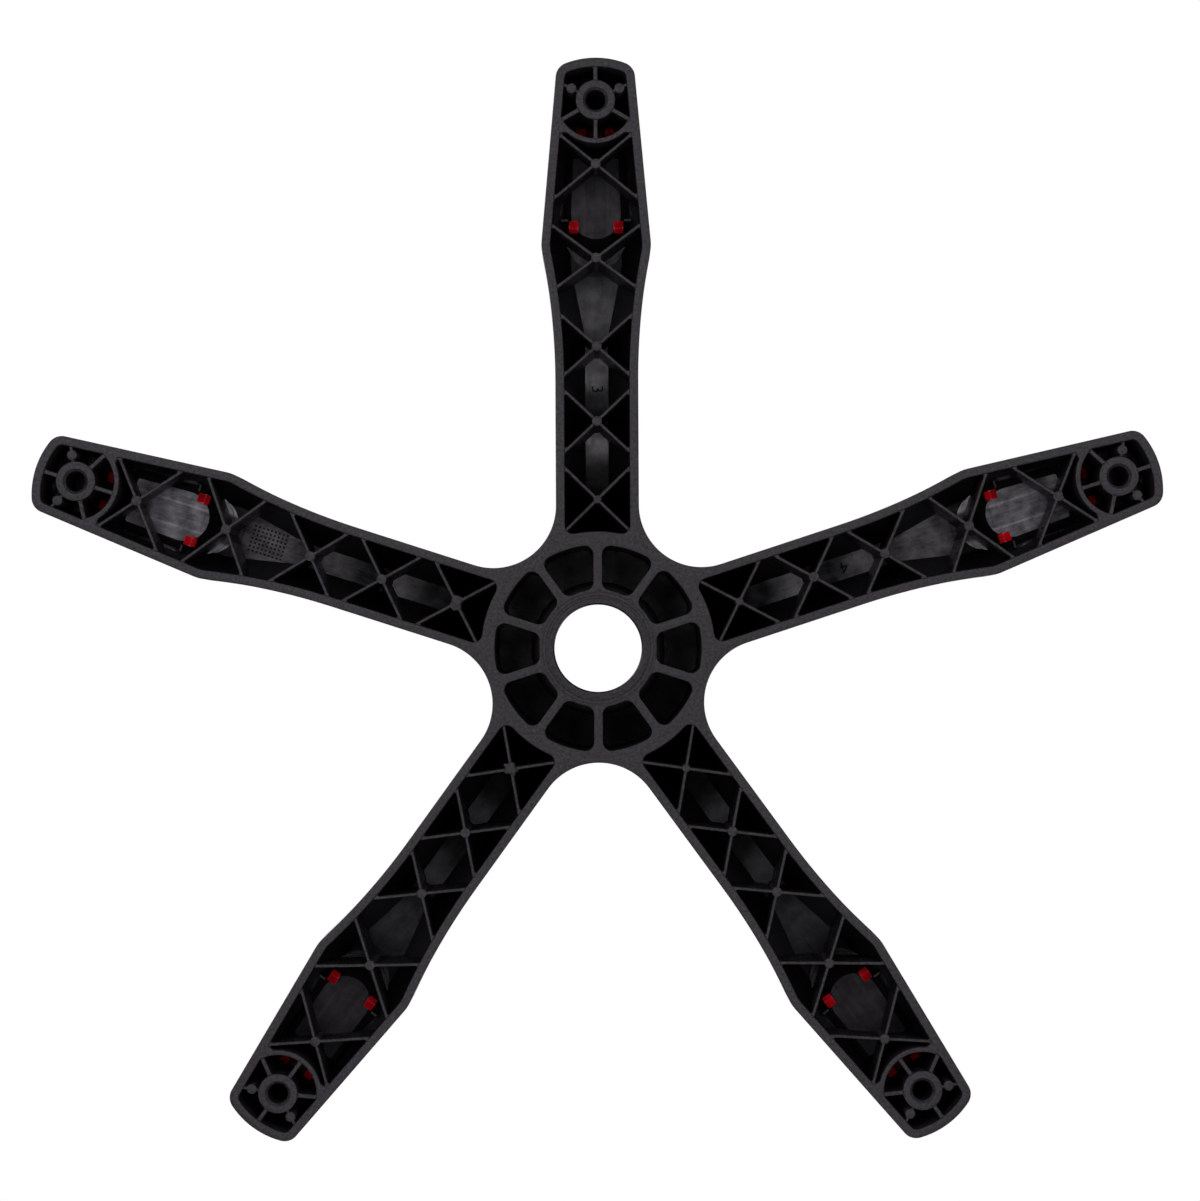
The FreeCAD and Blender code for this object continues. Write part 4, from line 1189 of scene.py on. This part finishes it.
group = bpy.data.node_groups.new("pip_rows", "GeometryNodeTree")
pitch = group.interface.new_socket("Pitch", in_out="INPUT", socket_type="NodeSocketFloat")
finish = group.interface.new_socket("Finish", in_out="INPUT", socket_type="NodeSocketMaterial")
group.interface.new_socket("Geometry", in_out="OUTPUT", socket_type="NodeSocketGeometry")
entry = add(group, "NodeGroupInput")
leave = add(group, "NodeGroupOutput")
length = add(group, "ShaderNodeMath", {0: entry.outputs["Pitch"]}, operation="MULTIPLY",
             values={1: PIPS_LONG - 1})
width = add(group, "ShaderNodeMath", {0: entry.outputs["Pitch"]}, operation="MULTIPLY",
            values={1: PIPS_WIDE - 1})
rows_of = add(group, "GeometryNodeMeshGrid", {"Size X": length.outputs[0], "Size Y": width.outputs[0]},
              values={"Vertices X": PIPS_LONG, "Vertices Y": PIPS_WIDE})
pip = add(group, "GeometryNodeMeshCube", values={"Size": (PIP_SIDE * MM, PIP_SIDE * MM, PIP_HEIGHT * MM)})
set_out = add(group, "GeometryNodeInstanceOnPoints",
              {"Points": rows_of.outputs["Mesh"], "Instance": pip.outputs["Mesh"]})
real = add(group, "GeometryNodeRealizeInstances", {"Geometry": set_out.outputs["Instances"]})
painted = add(group, "GeometryNodeSetMaterial",
              {"Geometry": real.outputs["Geometry"], "Material": entry.outputs["Finish"]})
group.links.new(painted.outputs["Geometry"], leave.inputs[0])
pips = in_scene("pip_grid", bpy.data.meshes.new("pip_grid_start"))
modifier = pips.modifiers.new("rows", "NODES")
modifier.node_group = group
modifier[pitch.identifier] = PIP_PITCH * MM
modifier[finish.identifier] = dull_nylon
settled(pips)
pips.data.transform(on_roof(PIP_PLACE, PIP_ARM))
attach(pips, "root")

# Trim caps
# Five glossy red ABS caps with a crowned top. Each snaps into the recess on a foot with four hooks,
# which are all that shows of it from below, apart from a strip of its underside in the window.
CAP_CROWN = 1.6
HOOK_LEG, HOOK_BARB = 2.6, 4.0
HOOKS = ((HOOK_BACK + 1.1, HOOK_SPACING, 6.8, 1, 16.2), (SOCKET_CIRCLE - 9.9, 7.9, 6.3, -1, 5.8))


def dyed_abs(name, strong, deep, rough, shine):
    """Red ABS: its two shades of colour, roughness and specular level."""
    material, tree, output = new_material(name)
    place = add(tree, "ShaderNodeTexCoord").outputs["Object"]
    ripple = add(tree, "ShaderNodeTexNoise", {"Vector": place}, values={"Scale": 90.0, "Detail": 2.0})
    fine = add(tree, "ShaderNodeTexNoise", {"Vector": place}, values={"Scale": 900.0, "Detail": 3.0})
    shade = add(tree, "ShaderNodeMapRange", {"Value": ripple.outputs["Fac"]},
                values={"From Min": 0.3, "From Max": 0.7})
    body = add(tree, "ShaderNodeMix", {"Factor": shade.outputs["Result"]}, data_type="RGBA",
               values={6: linear(strong), 7: linear(deep)})
    wear = add(tree, "ShaderNodeMapRange", {"Value": fine.outputs["Fac"]},
               values={"To Min": rough, "To Max": rough + 0.12})
    wave = add(tree, "ShaderNodeBump", {"Height": fine.outputs["Fac"]},
               values={"Strength": 0.08, "Distance": 0.0002})
    gloss_skin = add(tree, "ShaderNodeBsdfPrincipled", {
        "Base Color": body.outputs[2], "Roughness": wear.outputs["Result"], "Normal": wave.outputs["Normal"],
    }, values={"IOR": 1.53, "Specular IOR Level": shine})
    tree.links.new(gloss_skin.outputs["BSDF"], output.inputs["Surface"])
    return material


# The hooks beside the socket take a lighter copy of the red as a painted highlight, and the cap's underside a
# darker copy as painted shade.
red = dyed_abs("red_gloss", "#b80c18", "#a80a15", 0.14, 0.5)
red_inside = dyed_abs("red_core_side", "#a00611", "#68040b", 0.2, 0.2)
red_lit_tip = dyed_abs("red_tip_hooks_lit", "#e00a1a", "#94080f", 0.2, 0.4)
red_shaded_under = dyed_abs("red_underside_shaded", "#4c0a10", "#3c070c", 0.5, 0.15)

rim_loops = [cap_outline(0), moved_in(cap_outline(0), 0.25), moved_in(cap_outline(0), 0.9)]
cap_paths = [closed(loop) for loop in rim_loops]
columns, rows = np.meshgrid(np.arange(-16, 16.1, 2.5), np.arange(214, 313, 2.5))
grid = np.stack([columns.ravel(), rows.ravel()], 1)
grid = grid[inside(rim_loops[2], grid)]
grid = grid[distance_to(cap_paths, grid) > 0.9]
cap_points, cap_triangles = meshed(cap_paths, grid)
cap_triangles = cap_triangles[inside(rim_loops[0], cap_points[cap_triangles].mean(1))]
edge_gap = distance_to(cap_paths[:1], cap_points)
across = np.abs(cap_points[:, 0]) / CAP_ROUND_RADIUS
crown = CAP_CROWN * np.clip(1 - across ** 2.4, 0, 1) - 0.9 * rounding(edge_gap, 0.9)


def seated(x, y, z):
    """Place a point drawn on a level foot top at z = 0 on the real top, which falls to the tip."""
    out = y - KNEE
    return (
        x * MM,
        (KNEE + out * math.cos(FOOT_SLOPE) + z * math.sin(FOOT_SLOPE)) * MM,
        (foot_height(KNEE) - out * math.sin(FOOT_SLOPE) + z * math.cos(FOOT_SLOPE)) * MM,
    )


for k in range(ARM_COUNT):
    build = bmesh.new()
    over = [build.verts.new(seated(p[0], p[1], z)) for p, z in zip(cap_points, crown)]
    under = [build.verts.new(seated(p[0], p[1], -CAP_EDGE)) for p in cap_points]
    sides = {}
    for a, b, c in cap_triangles:
        build.faces.new((over[a], over[b], over[c]))
        build.faces.new((under[c], under[b], under[a])).material_index = 2
        for edge in ((a, b), (b, c), (c, a)):
            sides[edge] = True
    for a, b in sides:
        if (b, a) not in sides:
            build.faces.new((over[b], over[a], under[a], under[b]))
    for back, spacing, length, way, catch in HOOKS:
        nose, front = back + way * length, back + way * HOOK_LEG
        profile = [
            (back, -CAP_EDGE + 0.6), (back, -catch - HOOK_BARB + 1.1), (front, -catch - HOOK_BARB),
            (nose, -catch - HOOK_BARB / 3), (nose, -catch), (front, -catch), (front, -CAP_EDGE + 0.6),
        ]
        for side in (-1, 1):
            left, right = side * spacing - HOOK_WIDTH / 2, side * spacing + HOOK_WIDTH / 2
            one = [build.verts.new(seated(left, y, z)) for y, z in profile]
            two = [build.verts.new(seated(right, y, z)) for y, z in profile]
            hook_faces = [build.faces.new(one), build.faces.new(two[::-1])]
            for i in range(len(profile)):
                j = (i + 1) % len(profile)
                hook_faces.append(build.faces.new((one[j], one[i], two[i], two[j])))
            for face in hook_faces:
                face.material_index = 1 if way > 0 else 3
            hook_edges = {edge for face in hook_faces for edge in face.edges}
            bmesh.ops.bevel(build, geom=list(hook_edges), offset=0.3 * MM, segments=2, affect="EDGES")
    loose = [vertex for vertex in build.verts if not vertex.link_faces]
    bmesh.ops.delete(build, geom=loose, context="VERTS")
    bmesh.ops.recalc_face_normals(build, faces=build.faces)
    spin = Matrix.Rotation(math.radians(ARM_TURN * k), 3, "Z")
    bmesh.ops.rotate(build, verts=build.verts, cent=(0, 0, 0), matrix=spin)
    shape = bpy.data.meshes.new("trim_cap_shape_" + str(k + 1))
    build.to_mesh(shape)
    build.free()
    smoothed(shape, 40)
    for plastic in (red, red_inside, red_shaded_under, red_lit_tip):
        shape.materials.append(plastic)
    cap = in_scene("red_cap_" + str(k + 1), shape)
    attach(cap, "root")
    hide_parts("trim_cap_" + str(k + 1))

# Floor
# A pale floor under the base. It shows only from above, so that the camera can look up through it.
floor_mesh = bpy.data.meshes.new("floor_shape")
floor_mesh.from_pydata([(-4, -4, 0), (4, -4, 0), (4, 4, 0), (-4, 4, 0)], [], [(0, 1, 2, 3)])
floor = in_scene("floor", floor_mesh)
floor.location.z = -0.0002
pale, tree, output = new_material("painted_floor")
rays = add(tree, "ShaderNodeLightPath")
face_side = add(tree, "ShaderNodeNewGeometry")
upper = add(tree, "ShaderNodeMath", {1: face_side.outputs["Backfacing"]}, operation="SUBTRACT",
            values={0: 1.0})
shown = add(tree, "ShaderNodeMath", {0: rays.outputs["Is Camera Ray"], 1: upper.outputs[0]},
            operation="MULTIPLY")
clear = add(tree, "ShaderNodeBsdfTransparent")
matt = add(tree, "ShaderNodeBsdfDiffuse", values={"Color": linear("#f2f2f0")})
mixed = add(tree, "ShaderNodeMixShader", {0: shown.outputs[0], 1: clear.outputs[0], 2: matt.outputs[0]})
tree.links.new(mixed.outputs[0], output.inputs["Surface"])
floor.data.materials.append(pale)

# Light
# The world is white where the camera sees it, and a weak even fill for everything else.
world = bpy.data.worlds.new("studio")
bpy.context.scene.world = world
world.use_nodes = True
tree = world.node_tree
tree.nodes.clear()
output = tree.nodes.new("ShaderNodeOutputWorld")
rays = add(tree, "ShaderNodeLightPath")
fill = add(tree, "ShaderNodeBackground", values={"Color": (1, 1, 1, 1), "Strength": 0.1})
backdrop = add(tree, "ShaderNodeBackground", values={"Color": (1, 1, 1, 1), "Strength": 1.0})
seen = add(tree, "ShaderNodeMixShader",
           {0: rays.outputs["Is Camera Ray"], 1: fill.outputs[0], 2: backdrop.outputs[0]})
tree.links.new(seen.outputs[0], output.inputs["Surface"])

lamps = (
    ("soft_near_left", (0.88, 0.4, -1.4), 1.5, 1.5, 14.0),
    ("soft_near_right", (-0.88, 0.4, -1.4), 1.5, 1.5, 12.0),
    ("soft_near_top", (0.0, 1.1, -1.3), 1.0, 0.8, 3.6),
    ("strip_near_bottom", (0.0, -0.9, -1.4), 0.4, 1.2, 7.0),
    ("soft_above_left", (-1.0, -0.8, 1.4), 1.2, 1.2, 16.0),
    ("soft_above_right", (1.1, 0.6, 1.5), 1.2, 1.2, 16.0),
)
for name, spot, width, depth, power in lamps:
    light = bpy.data.lights.new(name, "AREA")
    light.shape = "ELLIPSE"
    light.size = width
    light.size_y = depth
    light.energy = power
    light.color = (1.0, 0.955, 1.03)
    lamp = in_scene(name, light)
    lamp.location = spot
    lamp.rotation_euler = (-lamp.location).to_track_quat("-Z", "Y").to_euler()

# Camera
# It looks straight up the hub's axis at the underside, 1.4 m below it.
camera_data = bpy.data.cameras.new("camera")
camera_data.sensor_fit = "HORIZONTAL"
camera_data.sensor_width = 36.0
CAMERA_DISTANCE = 1.4
FRAME_WIDTH = 0.6498
camera_data.lens = camera_data.sensor_width * CAMERA_DISTANCE / FRAME_WIDTH
camera_data.shift_x = 0.0016
camera_data.shift_y = 0.0398
camera = in_scene("camera", camera_data)
camera.location = (0, 0, -CAMERA_DISTANCE)
camera.rotation_euler = (math.pi, 0, math.pi + math.radians(0.28))
bpy.context.scene.camera = camera

bpy.context.scene.view_settings.view_transform = "Standard"
